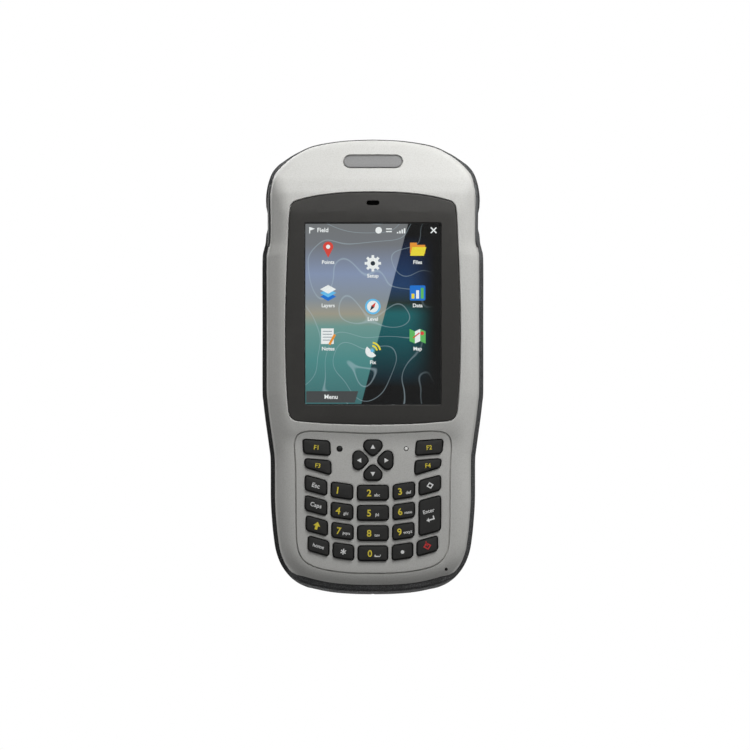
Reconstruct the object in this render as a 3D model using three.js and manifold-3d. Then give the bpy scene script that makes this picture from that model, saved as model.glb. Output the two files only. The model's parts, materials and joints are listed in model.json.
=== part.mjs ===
// Rugged handheld data collector: a touch screen over a keypad, in a two-part case with a rubber band
// round its joint line, an antenna hump at the top of the back and sealed ports on three sides.
// Millimetres. +X is to the right of the screen, +Y runs from the screen to the back, +Z to the top end.
// The origin lies under the middle of the part, at the level of its lowest point.
// Inside this file a place is given as (across, depth, height): depth is measured from the front face
// towards the back, and height from the middle of the length.
import * as THREE from "three";
import { mergeVertices } from "three/addons/utils/BufferGeometryUtils.js";
import Module from "manifold-3d";

const wasm = await Module();
wasm.setup();

// Overall sizes
const LENGTH = 190.5;
const WIDTH = 92;
const DEPTH = 42;
const BAND_PROUD = 1.5;
const BODY_DEPTH = 32.2;
const WALL = 2.8;
const GAP = 0.3;
const OVERRUN = 20;
const MERGE_DISTANCE = 1e-4;
const CASE_HALF_WIDTH = WIDTH / 2 - BAND_PROUD;
const CASE_HALF_LENGTH = LENGTH / 2 - BAND_PROUD;

// Outline of the case seen from the front, right half from top to bottom, as shares of the case's
// half width and half length.
const OUTLINE_STEPS = 21;
const OUTLINE_SHARES = [
  [0, 1], [0.29, 0.993], [0.56, 0.97], [0.72, 0.934], [0.824, 0.897], [0.894, 0.862], [0.926, 0.836],
  [0.953, 0.795], [0.968, 0.75], [0.97, 0.7], [0.97, 0.555], [0.987, 0.507], [1, 0.455], [1, 0.18],
  [1, -0.107], [0.993, -0.16], [0.975, -0.235], [0.955, -0.304], [0.935, -0.373], [0.924, -0.427],
  [0.922, -0.597], [0.912, -0.683], [0.897, -0.757], [0.876, -0.821], [0.836, -0.875], [0.778, -0.917],
  [0.706, -0.949], [0.596, -0.976], [0.404, -0.997], [0.2, -1.006], [0, -1.008],
];

// Layers of the case from front to back: depth as a share of the body's depth, then how far the outline is
// pulled in at its sides, its top end and its bottom end, as shares of the side chamfer's width.
const SIDE_CHAMFER = 7.9;
const CASE_LAYER_SHARES = [
  [-0.062, 1.184, 0.38, 2.025], [0.168, 0.177, 0.38, 0.57], [0.29, 0.11, 0.28, 0.1], [0.537, 0, 0.08, 0],
  [0.683, 0, 0, 0.14], [0.87, 0.278, 0.12, 0.658], [1.056, 1.304, 0.76, 1.53],
];
const HUMP_LAYER_SHARES = [
  [0.56, 0, 0, 0], [0.683, 0, 0, 0], [0.87, 0.278, 0, 0], [1.062, 0.456, 0.05, 0], [1.2, 0.7, 0.58, 0],
  [1.38, 1.15, 1.9, 0],
];

// Cuts of the front face, seen from the side: the keypad's step, the flat face and the top slope.
const FACE_SHARES = [
  [0.0575, -0.357], [0.0466, -0.325], [0.0186, -0.288], [0, -0.24], [0, 0.667], [0.05, 0.754],
  [0.137, 0.813], [0.516, 0.979], [0.81, 1.107],
];
// Outline of the hump over the back, seen from the side: depth as shares of the body's depth below the
// back, and of the hump's rise above it.
const HUMP_FOOT_SHARES = [[0.56, 0.67], [0.87, 0.67]];
const HUMP_UNDERSIDE_SHARES = [[0, 0.587], [0.102, 0.656], [0.306, 0.701], [1, 0.701]];
// Arch of the hump seen from the top end: shares of the half width and of the whole depth.
const ARCH_SHARES = [
  [1.034, 0.43], [0.989, 0.586], [0.903, 0.717], [0.787, 0.81], [0.697, 0.879], [0.562, 0.943],
  [0.404, 0.976], [0.202, 0.995],
];

// Edges of the rubber band seen from the side, from the top end down: depth as shares of the body's
// depth, height as shares of the half length. The two lists run point by point beside each other.
const BAND_FRONT_SHARES = [
  [1.056, 1.035], [0.78, 0.934], [0.652, 0.879], [0.606, 0.819], [0.612, 0.769], [0.661, 0.715],
  [0.733, 0.671], [0.752, 0.642], [0.733, 0.608], [0.683, 0.582], [0.463, 0.48], [0.43, 0.45],
];
const BAND_REAR_SHARES = [
  [1.354, 1.028], [0.96, 0.886], [0.814, 0.83], [0.745, 0.789], [0.739, 0.764], [0.795, 0.719],
  [0.857, 0.668], [0.873, 0.636], [0.854, 0.593], [0.792, 0.5525], [0.677, 0.501], [0.646, 0.468],
];
// Below this height the band turns under the bottom end: half of each edge seen from that end, from the
// side to the middle, as shares of the half width and of the body's depth.
const BAND_TURN_SHARE = -0.81;
const BAND_FRONT_END_SHARES = [
  [1.2, 0.43], [0.809, 0.43], [0.773, 0.373], [0.746, 0.273], [0.706, 0.193], [0.643, 0.149],
  [0.562, 0.143], [0, 0.143],
];
const BAND_REAR_END_SHARES = [
  [1.2, 0.646], [0.822, 0.646], [0.742, 0.596], [0.679, 0.509], [0.656, 0.404], [0.627, 0.317],
  [0.562, 0.273], [0, 0.273],
];
const BAND_SEAT = 0.9;
const SEAL_THICKNESS = 0.7;

// Screen
const BEZEL_SHARES = [
  [0, 0.754], [0.38, 0.741], [0.73, 0.711], [0.755, 0.69], [0.788, 0.45], [0.805, 0.16], [0.798, -0.05],
  [0.775, -0.205], [0.755, -0.233], [0.7, -0.246], [0.36, -0.258], [0, -0.262],
];
const BEZEL_SINK = 0.2;
const BEZEL_THICKNESS = 1.5;
const DISPLAY_SHARES = { width: 1.263, height: 0.7979, middle: 0.2219 };
const DISPLAY_WIDTH = DISPLAY_SHARES.width * CASE_HALF_WIDTH;
const DISPLAY_HEIGHT = DISPLAY_SHARES.height * CASE_HALF_LENGTH;
const DISPLAY_MIDDLE = DISPLAY_SHARES.middle * CASE_HALF_LENGTH;
const DISPLAY_MARGIN = 1.5;
const TOUCH_PANEL_THICKNESS = 1.1;
const LCD_THICKNESS = 3.2;
const LCD_BORDER = 2.8;
// Heights of the earpiece, the loudspeaker and the badge as shares of the half length.
const FRONT_HEIGHT_SHARES = { earpiece: 0.7083, loudspeaker: 0.7008, badge: 0.8971 };
const EARPIECE = { width: 5.3, height: 2, middle: FRONT_HEIGHT_SHARES.earpiece * CASE_HALF_LENGTH };
const LOUDSPEAKER = {
  width: 12, height: 5.2, thickness: 2.5, front: 4.9,
  middle: FRONT_HEIGHT_SHARES.loudspeaker * CASE_HALF_LENGTH,
};
const BADGE = {
  width: 24.2, height: 5.4, middle: FRONT_HEIGHT_SHARES.badge * CASE_HALF_LENGTH, thickness: 0.8, sink: 0.1,
};

// Keypad
const KEY_PROUD = 0.9;
const KEYPAD_DEPTH = FACE_SHARES[0][0] * BODY_DEPTH;
const KEY_TOP = KEYPAD_DEPTH - KEY_PROUD;
const KEY_TRAVEL = 0.7;
const KEY_FLANGE = 0.5;
const KEY_FLANGE_THICKNESS = 0.95;
const KEY_EDGE = 0.35;
const KEY_CORNER = 1.1;
const ROW_GAP = 2.4;
// The rows: their pitch, the first one's height and how far its ends rise, as shares of the half length;
// their reach to either side as a share of the half width; and each column as shares of that reach.
const ROW_SHARES = { pitch: 0.0885, first: -0.5339, rise: 0.0475, reach: 0.6247 };
const KEY_ROW_PITCH = ROW_SHARES.pitch * CASE_HALF_LENGTH;
const KEY_HEIGHT = KEY_ROW_PITCH - ROW_GAP;
const FIRST_ROW = ROW_SHARES.first * CASE_HALF_LENGTH;
const ROW_RISE = ROW_SHARES.rise * CASE_HALF_LENGTH;
const ROW_REACH = ROW_SHARES.reach * CASE_HALF_WIDTH;
const KEY_COLUMN_SHARES = { middle: [-0.2284, 0.2284], inner: [0.2986, 0.6151], outer: [0.6835, 1] };
const ROW_PULL_SHARES = [1, 1, 0.985, 0.955];
// Corners of the odd keys, clockwise from the top outer one, as shares of the rows' reach and of the half
// length.
const KEY_F1_SHARES = [[-1.036, -0.3294], [-0.644, -0.3372], [-0.629, -0.3988], [-1.018, -0.3893]];
const KEY_F3_SHARES = [[-1.007, -0.414], [-0.626, -0.4234], [-0.619, -0.4842], [-1, -0.4501]];
const GROOVE_SHARES = [
  [1.029, -0.29], [0, -0.304], [-1.029, -0.29], [-1.173, -0.3244], [-1.144, -0.43], [-1.133, -0.771],
  [-0.939, -0.8875], [0, -0.9184], [0.939, -0.8875], [1.133, -0.771], [1.144, -0.43], [1.173, -0.3244],
];
// An arrow key over the cluster's middle, as shares of the space between the groove and the first row.
const ARROW_SHARES = [
  [-0.116, 0.38], [0.116, 0.38], [0.174, 0.322], [0.174, 0.23], [0.039, 0.093], [-0.039, 0.093],
  [-0.174, 0.23], [-0.174, 0.322],
];
const ARROW_SPACE = GROOVE_SHARES[1][1] * CASE_HALF_LENGTH - FIRST_ROW;
const ARROW_MIDDLE_SHARE = 0.494;
const ARROW_MIDDLE = FIRST_ROW + ARROW_MIDDLE_SHARE * ARROW_SPACE;
const GROOVE_WIDTH = 0.6;
const GROOVE_DEPTH = 0.4;
const GROOVE_CORNER = 4;
// Places of the mat, the lights and the microphone as shares of the half width and the half length.
const MAT_SHARES = { halfWidth: 0.6629, top: -0.2944, bottom: -0.8917 };
const LIGHT_SHARES = { across: 0.3079, height: -0.3701, bar: -0.3083 };
const MICROPHONE_SHARES = { across: 0.6787, height: -0.8992 };
const MAT = {
  halfWidth: MAT_SHARES.halfWidth * CASE_HALF_WIDTH, top: MAT_SHARES.top * CASE_HALF_LENGTH,
  bottom: MAT_SHARES.bottom * CASE_HALF_LENGTH, thickness: 1.15, corner: 6, margin: 0.15,
};
const LIGHT = {
  across: LIGHT_SHARES.across * CASE_HALF_WIDTH, height: LIGHT_SHARES.height * CASE_HALF_LENGTH,
  leftDiameter: 2.5, rightDiameter: 1.9, sink: 0.1,
};
const LIGHT_BAR = { height: LIGHT_SHARES.bar * CASE_HALF_LENGTH, width: 1.2, front: 5, thickness: 0.9 };
const MICROPHONE = {
  across: MICROPHONE_SHARES.across * CASE_HALF_WIDTH, height: MICROPHONE_SHARES.height * CASE_HALF_LENGTH,
  diameter: 1.1, depth: 1.5, sides: 8,
};

// Side ports and their rubber covers: the cover's outline seen from the side, depth as shares of the
// body's depth and height as shares of the half length.
const SIDE_COVER_SHARES = [
  [0.484, 0.797], [0.54, 0.777], [0.564, 0.74], [0.612, 0.702], [0.677, 0.661], [0.699, 0.637],
  [0.689, 0.62], [0.612, 0.579], [0.503, 0.528], [0.425, 0.518], [0.335, 0.532], [0.311, 0.5525],
  [0.313, 0.668], [0.346, 0.708], [0.396, 0.748], [0.432, 0.777],
];
const COVER_PROUD = 0.7;
const COVER_SEAT = 1.3;
const COVER_SCOOP = { radius: 3.6, depth: 1, drop: 1.9 };
const SIDE_PORT_HEIGHT_SHARE = 0.6293;
const SIDE_PORT_BLOCK = 6;
const SIDE_PORT = {
  height: SIDE_PORT_HEIGHT_SHARE * CASE_HALF_LENGTH, blockInner: CASE_HALF_WIDTH - SIDE_PORT_BLOCK,
  blockMargin: 1.6,
};
const POWER_JACK = { nose: 8, width: 10, length: 10, bore: 5.6, pin: 2.1, boreDepth: 9 };
const ANTENNA_JACK = { nose: 6, width: 8, length: 8, bore: 2.6, pin: 0.9, boreDepth: 4 };
const JACK_NOSE_LENGTH = 2.9;

// Bottom end: the interface cover and the two ports behind it
// Places across as shares of the half width, depths as shares of the body's depth.
const END_COVER_SHARES = { halfWidth: 0.618, front: 0.323, rear: 0.882 };
const END_TAB_SHARES = { front: 0.5404, rear: 0.8385, scoop: 0.7019 };
const PORT_BLOCK_SHARES = { halfWidth: 0.5798, front: 0.3727, rear: 0.8385 };
const SERIAL_SHARES = { across: 0.218, depth: 0.6025 };
const USB_SHARES = { across: -0.3708, depth: 0.6242 };
const END_COVER = {
  halfWidth: END_COVER_SHARES.halfWidth * CASE_HALF_WIDTH, front: END_COVER_SHARES.front * BODY_DEPTH,
  rear: END_COVER_SHARES.rear * BODY_DEPTH, corner: 2.2, proud: 0.75,
};
const END_TAB = {
  hold: 3.1, reach: 3, front: END_TAB_SHARES.front * BODY_DEPTH, rear: END_TAB_SHARES.rear * BODY_DEPTH,
  proud: 1.5,
};
const END_SCOOP = { reach: 2.1, depth: END_TAB_SHARES.scoop * BODY_DEPTH, radius: 3.9, cut: 1.2 };
const END_COVER_REACH = 14;
const PORT_INSET = 8.15;
const PORT_REACH = 2.2;
const PORT_BLOCK = {
  halfWidth: PORT_BLOCK_SHARES.halfWidth * CASE_HALF_WIDTH, front: PORT_BLOCK_SHARES.front * BODY_DEPTH,
  rear: PORT_BLOCK_SHARES.rear * BODY_DEPTH, inner: -CASE_HALF_LENGTH + PORT_INSET,
};
const PORT_MOUTH = PORT_BLOCK.inner - PORT_REACH;
const SERIAL = {
  across: SERIAL_SHARES.across * CASE_HALF_WIDTH, depth: SERIAL_SHARES.depth * BODY_DEPTH, wide: 16.9,
  narrow: 14, height: 8.4, wall: 0.6, corner: 1.6, mouthDepth: 5,
  flangeWidth: 22, flangeHeight: 9.6, flangeThickness: 1.2, bodyWidth: 18, bodyHeight: 9.6, length: 8,
  pin: 1, pinPitch: 2.74, rowPitch: 2.84, pinLength: 4.4, pinSides: 6, longRow: 5, shortRow: 4,
};
const USB = {
  across: USB_SHARES.across * CASE_HALF_WIDTH, depth: USB_SHARES.depth * BODY_DEPTH, width: 10, height: 9,
  cut: 2, wall: 0.8, mouthDepth: 6, tongueWidth: 5.6, tongueHeight: 3, length: 10,
};

// Back: battery bay, door, latch, hand strap points and camera
// Widths as shares of the half width; lengths and heights as shares of the half length.
const BATTERY_SHARES = { width: 1.164, length: 0.8405, middle: -0.256 };
const DOOR_SHARES = { width: 1.3258, length: 0.9387 };
const HOOD_SHARES = {
  base: 0.3326, top: 0.2663, openBase: 0.2921, openTop: 0.2393, from: -0.9451, to: -0.8363, trough: -0.7627,
};
const CAMERA_SHARES = { across: 0.4494, height: 0.3968 };
const STRAP_SHARE = 0.3371;
const DOOR_THICKNESS = 1.8;
const DOOR_LEDGE = 1.9;
const DOOR_FRAME_BORDER = 1.8;
const DOOR_FRONT = BODY_DEPTH - DOOR_THICKNESS;
const BATTERY_THICKNESS = 9.4;
const BATTERY = {
  width: BATTERY_SHARES.width * CASE_HALF_WIDTH, length: BATTERY_SHARES.length * CASE_HALF_LENGTH,
  thickness: BATTERY_THICKNESS, corner: 2, front: DOOR_FRONT - DOOR_LEDGE - BATTERY_THICKNESS,
  middle: BATTERY_SHARES.middle * CASE_HALF_LENGTH,
};
const BAY_CLEARANCE = 0.6;
const BAY_WALL = 1.6;
const DOOR = {
  width: DOOR_SHARES.width * CASE_HALF_WIDTH, length: DOOR_SHARES.length * CASE_HALF_LENGTH, corner: 4,
  middle: BATTERY.middle,
};
const LATCH_DROP = 10.5;
const LATCH = {
  width: 14, length: 7, proud: 0.4, travel: 3, middle: DOOR.middle + DOOR.length / 2 - LATCH_DROP,
  flangeWidth: 18, flangeLength: 10, flangeThickness: 1.2,
};
// The strap's bar over the hump's underside, and the slot and the block round it, by their distances.
const HUMP_FOOT = HUMP_UNDERSIDE_SHARES[0][1] * CASE_HALF_LENGTH;
const HUMP_UNDERSIDE = HUMP_UNDERSIDE_SHARES[2][1] * CASE_HALF_LENGTH;
const STRAP = {
  barRise: 1.7, slotRise: 4.7, blockRise: 6.5, barInset: 4.4, slotRear: 1.4, slotFront: 8, blockFront: 9.6,
  slotBorder: 3.5, barHold: 1,
};
const STRAP_BLOCK = {
  halfWidth: STRAP_SHARE * CASE_HALF_WIDTH, front: DEPTH - STRAP.blockFront,
  top: HUMP_UNDERSIDE + STRAP.blockRise,
};
const STRAP_SLOT = {
  halfWidth: STRAP_BLOCK.halfWidth - STRAP.slotBorder, front: DEPTH - STRAP.slotFront,
  rear: DEPTH - STRAP.slotRear, top: HUMP_UNDERSIDE + STRAP.slotRise,
};
const STRAP_BAR = {
  diameter: 2.4, length: 2 * (STRAP_BLOCK.halfWidth - STRAP.barHold), depth: DEPTH - STRAP.barInset,
  height: HUMP_UNDERSIDE + STRAP.barRise,
};
const HOOD_SINK = 2;
const HOOD = {
  baseHalfWidth: HOOD_SHARES.base * CASE_HALF_WIDTH, topHalfWidth: HOOD_SHARES.top * CASE_HALF_WIDTH,
  rise: 2.3, top: HOOD_SHARES.to * CASE_HALF_LENGTH, ramp: 2.8, bottom: HOOD_SHARES.from * CASE_HALF_LENGTH,
  openBaseHalfWidth: HOOD_SHARES.openBase * CASE_HALF_WIDTH,
  openTopHalfWidth: HOOD_SHARES.openTop * CASE_HALF_WIDTH, openFront: BODY_DEPTH - HOOD_SINK, bridge: 1.3,
  openTop: HOOD_SHARES.trough * CASE_HALF_LENGTH, padHalfWidth: HOOD_SHARES.base * CASE_HALF_WIDTH,
  padDepth: 2,
};
const CAMERA = {
  across: CAMERA_SHARES.across * CASE_HALF_WIDTH, height: CAMERA_SHARES.height * CASE_HALF_LENGTH, ring: 13.5,
  barrel: 11.4, ringProud: 1.3, length: 8.2, lens: 6, lensDepth: 0.7,
};

// Boards and antenna: heights as shares of the half length, thicknesses of what stands on the board as
// shares of its space to the battery bay.
const BOARD_SHARES = { top: 0.7627, neck: -0.2027, bottom: -0.8533 };
const PART_HEIGHT_SHARES = { shieldCan: 0.32, connector: -0.064, contacts: -0.5973 };
const PART_THICKNESS_SHARES = { shieldCan: 0.3, connector: 0.4 };
const BOARD = {
  thickness: 1.6, clear: 1.15, top: BOARD_SHARES.top * CASE_HALF_LENGTH,
  neck: BOARD_SHARES.neck * CASE_HALF_LENGTH, bottom: BOARD_SHARES.bottom * CASE_HALF_LENGTH,
};
const SHIELD_CAN = { width: 24, length: 26, middle: PART_HEIGHT_SHARES.shieldCan * CASE_HALF_LENGTH };
const CONNECTOR = { width: 20, length: 5, middle: PART_HEIGHT_SHARES.connector * CASE_HALF_LENGTH };
const CONTACT_BLOCK = { width: 12, length: 4, middle: PART_HEIGHT_SHARES.contacts * CASE_HALF_LENGTH };
const SATELLITE_SHARES = { width: 0.5618, length: 0.2133, middle: 0.832 };
const SATELLITE_ANTENNA = {
  width: SATELLITE_SHARES.width * CASE_HALF_WIDTH, length: SATELLITE_SHARES.length * CASE_HALF_LENGTH,
  thickness: 3.6, middle: SATELLITE_SHARES.middle * CASE_HALF_LENGTH,
};

// Screws
const SCREW = {
  head: 4.8, headHeight: 1.9, shank: 2.4, length: 14, drive: 2.2, driveDepth: 0.9, sides: 8,
};
const BOSS = { diameter: 6.5, inset: 5.6, pocket: 5.6, pilot: 3, pilotExtra: 1.5 };
const BODY_SCREW_SINK = 6.2;
const HUMP_SCREW_SINK = 9;
const BODY_SCREW_SEAT = BODY_DEPTH - BODY_SCREW_SINK;
const HUMP_SCREW_SEAT = DEPTH - HUMP_SCREW_SINK;
const BODY_SCREW_SHARES = { upper: 0.3776, middle: -0.1835, lower: -0.7531 };
const HUMP_SCREW_SHARES = { across: 0.7079, height: 0.8683 };

const ROUND_SIDES = 14;

const MATERIALS = {
  case: finish(0xb9b9b6, 0.62),
  caseRear: finish(0xadadab, 0.62),
  rubber: finish(0x4a4b4c, 0.85),
  cover: finish(0x4c4c4d, 0.75),
  bezel: finish(0x3e3d3b, 0.5),
  glass: finish(0x101418, 0.12),
  display: finish(0x1b3240, 0.4),
  badge: finish(0x7d7d7d, 0.45),
  key: finish(0x2e2f2f, 0.6),
  mat: finish(0x3a3b3d, 0.8),
  lens: finish(0xd9dcd8, 0.25),
  board: finish(0x1f5a3a, 0.5),
  cell: finish(0x2b2f38, 0.45),
  steel: finish(0xa8aaac, 0.35, 0.9),
  contact: finish(0xc7a24a, 0.3, 0.9),
  antenna: finish(0xcfc6b0, 0.55),
};

function finish(color, roughness, metalness = 0) {
  return new THREE.MeshStandardMaterial({ color, roughness, metalness });
}

// A closed geometry as a solid that can be joined and cut.
function solidOf(geometry) {
  const loose = geometry.index ? geometry.toNonIndexed() : geometry;
  const bare = new THREE.BufferGeometry();
  bare.setAttribute("position", loose.getAttribute("position").clone());
  const merged = mergeVertices(bare, MERGE_DISTANCE);
  return new wasm.Manifold(
    new wasm.Mesh({
      numProp: 3,
      vertProperties: merged.getAttribute("position").array,
      triVerts: new Uint32Array(merged.index.array),
    }),
  );
}

function geometryOf(solid) {
  const { numProp, vertProperties, triVerts } = solid.getMesh();
  const positions = new Float32Array((vertProperties.length / numProp) * 3);
  for (let i = 0; i < positions.length / 3; i++) {
    positions.set(vertProperties.subarray(i * numProp, i * numProp + 3), i * 3);
  }
  const geometry = new THREE.BufferGeometry();
  geometry.setAttribute("position", new THREE.BufferAttribute(positions, 3));
  geometry.setIndex(new THREE.BufferAttribute(new Uint32Array(triVerts), 1));
  const faceted = geometry.toNonIndexed();
  faceted.computeVertexNormals();
  return faceted;
}

function join(...solids) {
  return solids.reduce((whole, solid) => whole.add(solid));
}

function cut(solid, ...tools) {
  return tools.reduce((left, tool) => left.subtract(tool), solid);
}

function overlap(...solids) {
  return solids.reduce((common, solid) => common.intersect(solid));
}

// Moves each point of a closed outline outwards by a distance, square to the two edges beside it.
// The outline runs anticlockwise.
function grown(points, distance) {
  return points.map((point, i) => {
    const before = points[(i + points.length - 1) % points.length];
    const after = points[(i + 1) % points.length];
    return shifted(point, before, after, distance);
  });
}

// The same for an open line, to its right.
function shiftedLine(points, distance) {
  return points.map((point, i) =>
    shifted(point, points[i - 1] ?? null, points[i + 1] ?? null, distance),
  );
}

function shifted(point, before, after, distance) {
  const normals = [];
  if (before) normals.push(rightNormal(before, point));
  if (after) normals.push(rightNormal(point, after));
  const [a, b] = [normals[0], normals[normals.length - 1]];
  const stretch = distance / (1 + a[0] * b[0] + a[1] * b[1]);
  return [point[0] + (a[0] + b[0]) * stretch, point[1] + (a[1] + b[1]) * stretch];
}

function rightNormal(from, to) {
  const run = [to[0] - from[0], to[1] - from[1]];
  const size = Math.hypot(...run);
  return [run[1] / size, -run[0] / size];
}

function isAnticlockwise(points) {
  return !THREE.ShapeUtils.isClockWise(points.map(([x, y]) => new THREE.Vector2(x, y)));
}

function anticlockwise(points) {
  return isAnticlockwise(points) ? points : [...points].reverse();
}

function scaledPoints(shares, unitX, unitY) {
  return shares.map(([x, y]) => [x * unitX, y * unitY]);
}

// A closed skin over rings of points that each follow one outline.
function skin(outline, rings) {
  const positions = [];
  const put = (ring, i) => positions.push(...ring[i % ring.length]);
  const contour = outline.map(([x, y]) => new THREE.Vector2(x, y));
  for (const [a, b, c] of THREE.ShapeUtils.triangulateShape(contour, [])) {
    const [front, rear] = [rings[0], rings[rings.length - 1]];
    [a, b, c].forEach((i) => put(front, i));
    [a, c, b].forEach((i) => put(rear, i));
  }
  for (let k = 0; k + 1 < rings.length; k++) {
    const [near, far] = [rings[k], rings[k + 1]];
    for (let i = 0; i < outline.length; i++) {
      put(near, i);
      put(far, i);
      put(near, i + 1);
      put(near, i + 1);
      put(far, i);
      put(far, i + 1);
    }
  }
  const geometry = new THREE.BufferGeometry();
  geometry.setAttribute("position", new THREE.BufferAttribute(new Float32Array(positions), 3));
  return geometry;
}

// The same over layers of the outline, each at a depth and grown by some distance.
function stack(outline, layers) {
  const ring = ([depth, growth]) => grown(outline, growth).map(([across, height]) => [across, depth, height]);
  return skin(outline, layers.map(ring));
}

// A plate drawn from the front (across, height), between two depths.
function frontPlate(points, front, rear) {
  return solidOf(stack(anticlockwise(points), [[front, 0], [rear, 0]]));
}

function shapeOf(points) {
  return new THREE.Shape(points.map(([x, y]) => new THREE.Vector2(x, y)));
}

// A bar whose section is drawn from the side (depth, height), between two places across.
function sideBar(points, from, to) {
  const geometry = new THREE.ExtrudeGeometry(shapeOf(points), { depth: to - from, bevelEnabled: false });
  const toSide = new THREE.Matrix4().makeBasis(
    new THREE.Vector3(0, 1, 0),
    new THREE.Vector3(0, 0, 1),
    new THREE.Vector3(1, 0, 0),
  );
  return solidOf(geometry.applyMatrix4(toSide).translate(from, 0, 0));
}

// A bar whose section is drawn from an end (across, depth), between two heights.
function endBar(points, from, to) {
  const geometry = new THREE.ExtrudeGeometry(shapeOf(points), { depth: to - from, bevelEnabled: false });
  return solidOf(geometry.translate(0, 0, from));
}

function box([x0, x1], [y0, y1], [z0, z1]) {
  const geometry = new THREE.BoxGeometry(x1 - x0, y1 - y0, z1 - z0);
  return solidOf(geometry.translate((x0 + x1) / 2, (y0 + y1) / 2, (z0 + z1) / 2));
}

// A round bar of a diameter along "x", "y" or "z", from one place on that axis to another.
function rod(axis, diameter, [across, depth, height], from, to, sides = ROUND_SIDES) {
  const geometry = new THREE.CylinderGeometry(diameter / 2, diameter / 2, to - from, sides);
  const middle = (from + to) / 2;
  if (axis === "x") geometry.rotateZ(-Math.PI / 2).translate(middle, depth, height);
  if (axis === "y") geometry.translate(across, middle, height);
  if (axis === "z") geometry.rotateX(Math.PI / 2).translate(across, depth, middle);
  return solidOf(geometry);
}

// A polygon with rounded corners, as points.
function rounded(points, radius, steps = 2) {
  const result = [];
  points.forEach((corner, i) => {
    const before = points[(i + points.length - 1) % points.length];
    const after = points[(i + 1) % points.length];
    const reach = (to) => {
      const size = Math.hypot(to[0] - corner[0], to[1] - corner[1]);
      return new THREE.Vector2(...corner).lerp(new THREE.Vector2(...to), Math.min(radius / size, 1 / 2));
    };
    const bend = new THREE.QuadraticBezierCurve(reach(before), new THREE.Vector2(...corner), reach(after));
    bend.getPoints(steps).forEach(({ x, y }) => result.push([x, y]));
  });
  return withoutRepeats(result);
}

function withoutRepeats(points) {
  return points.filter(([x, y], i) => {
    const [nextX, nextY] = points[(i + 1) % points.length];
    return Math.hypot(nextX - x, nextY - y) > MERGE_DISTANCE;
  });
}

function rectangle(width, height, middleX = 0, middleY = 0) {
  const [w, h] = [width / 2, height / 2];
  return [[-w, -h], [w, -h], [w, h], [-w, h]].map(([x, y]) => [x + middleX, y + middleY]);
}

// A long hole or plate with round ends.
function pill(width, height, middleX, middleY, steps = 6) {
  const radius = height / 2;
  const reach = width / 2 - radius;
  const points = [];
  for (const side of [1, -1]) {
    for (let i = 0; i <= steps; i++) {
      const angle = (side > 0 ? -Math.PI / 2 : Math.PI / 2) + (Math.PI * i) / steps;
      points.push([middleX + side * reach + radius * Math.cos(angle), middleY + radius * Math.sin(angle)]);
    }
  }
  return points;
}

function mirrored(points) {
  return points.map(([x, y]) => [-x, y]).reverse();
}

// The case's outline and its solid, grown by a distance on every side.

function caseOutline() {
  const half = new THREE.SplineCurve(
    scaledPoints(OUTLINE_SHARES, CASE_HALF_WIDTH, CASE_HALF_LENGTH).map(([x, y]) => new THREE.Vector2(x, y)),
  ).getPoints(OUTLINE_STEPS).map(({ x, y }) => [x, y]);
  const left = half.slice(1, -1).map(([x, y]) => [-x, y]);
  return anticlockwise([...half, ...left.reverse()]);
}

const CASE_OUTLINE = caseOutline();

function caseHalfWidthAt(height) {
  const right = CASE_OUTLINE.filter(([x]) => x > 0).sort((a, b) => a[1] - b[1]);
  const above = right.findIndex(([, z]) => z > height);
  const [low, high] = [right[above - 1], right[above]];
  return low[0] + ((high[0] - low[0]) * (height - low[1])) / (high[1] - low[1]);
}

// A skin over layers of the case's outline. Each layer is pulled in by its own amounts at the sides, the
// top end and the bottom end, blended by the way that the outline faces.
function layerLoft(shares, growth) {
  const steps = grown(CASE_OUTLINE, 1).map(([x, y], i) => [x - CASE_OUTLINE[i][0], y - CASE_OUTLINE[i][1]]);
  const lines = steps.map(([x, y]) => {
    const sideways = x ** 2 / (x ** 2 + y ** 2);
    const line = shares.map(([depth, side, top, bottom]) => {
      const inset = side * sideways + (y > 0 ? top : bottom) * (1 - sideways);
      return [depth * BODY_DEPTH, inset * SIDE_CHAMFER];
    });
    return shiftedLine(line, growth);
  });
  const rings = shares.map((_, k) =>
    CASE_OUTLINE.map(([across, height], i) => {
      const [depth, inset] = lines[i][k];
      return [across - steps[i][0] * inset, depth, height - steps[i][1] * inset];
    }),
  );
  return solidOf(skin(CASE_OUTLINE, rings));
}

function profileBar(points, growth) {
  return sideBar(grown(anticlockwise(points), growth), -WIDTH, WIDTH);
}

function bodyProfile() {
  return [
    [BODY_DEPTH, LENGTH], [BODY_DEPTH, -LENGTH], [FACE_SHARES[0][0] * BODY_DEPTH, -LENGTH],
    ...scaledPoints(FACE_SHARES, BODY_DEPTH, CASE_HALF_LENGTH),
  ];
}

function humpProfile() {
  const rise = DEPTH - BODY_DEPTH;
  const underside = HUMP_UNDERSIDE_SHARES.map(([depth, height]) => [
    BODY_DEPTH + depth * rise,
    height * CASE_HALF_LENGTH,
  ]);
  const foot = scaledPoints(HUMP_FOOT_SHARES, BODY_DEPTH, CASE_HALF_LENGTH);
  return [...foot, ...underside, [DEPTH, LENGTH], [foot[0][0], LENGTH]];
}

function archBar(growth) {
  const right = scaledPoints(ARCH_SHARES, CASE_HALF_WIDTH, DEPTH);
  const points = anticlockwise([...right, [0, DEPTH], ...mirrored(right)]);
  return endBar(grown(points, growth), 0, LENGTH);
}

const caseSolids = new Map();

function caseSolid(growth = 0) {
  if (!caseSolids.has(growth)) {
    const body = overlap(layerLoft(CASE_LAYER_SHARES, growth), profileBar(bodyProfile(), growth));
    const hump = overlap(
      layerLoft(HUMP_LAYER_SHARES, growth),
      profileBar(humpProfile(), growth),
      archBar(growth),
    );
    caseSolids.set(growth, join(body, hump));
  }
  return caseSolids.get(growth);
}

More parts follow.
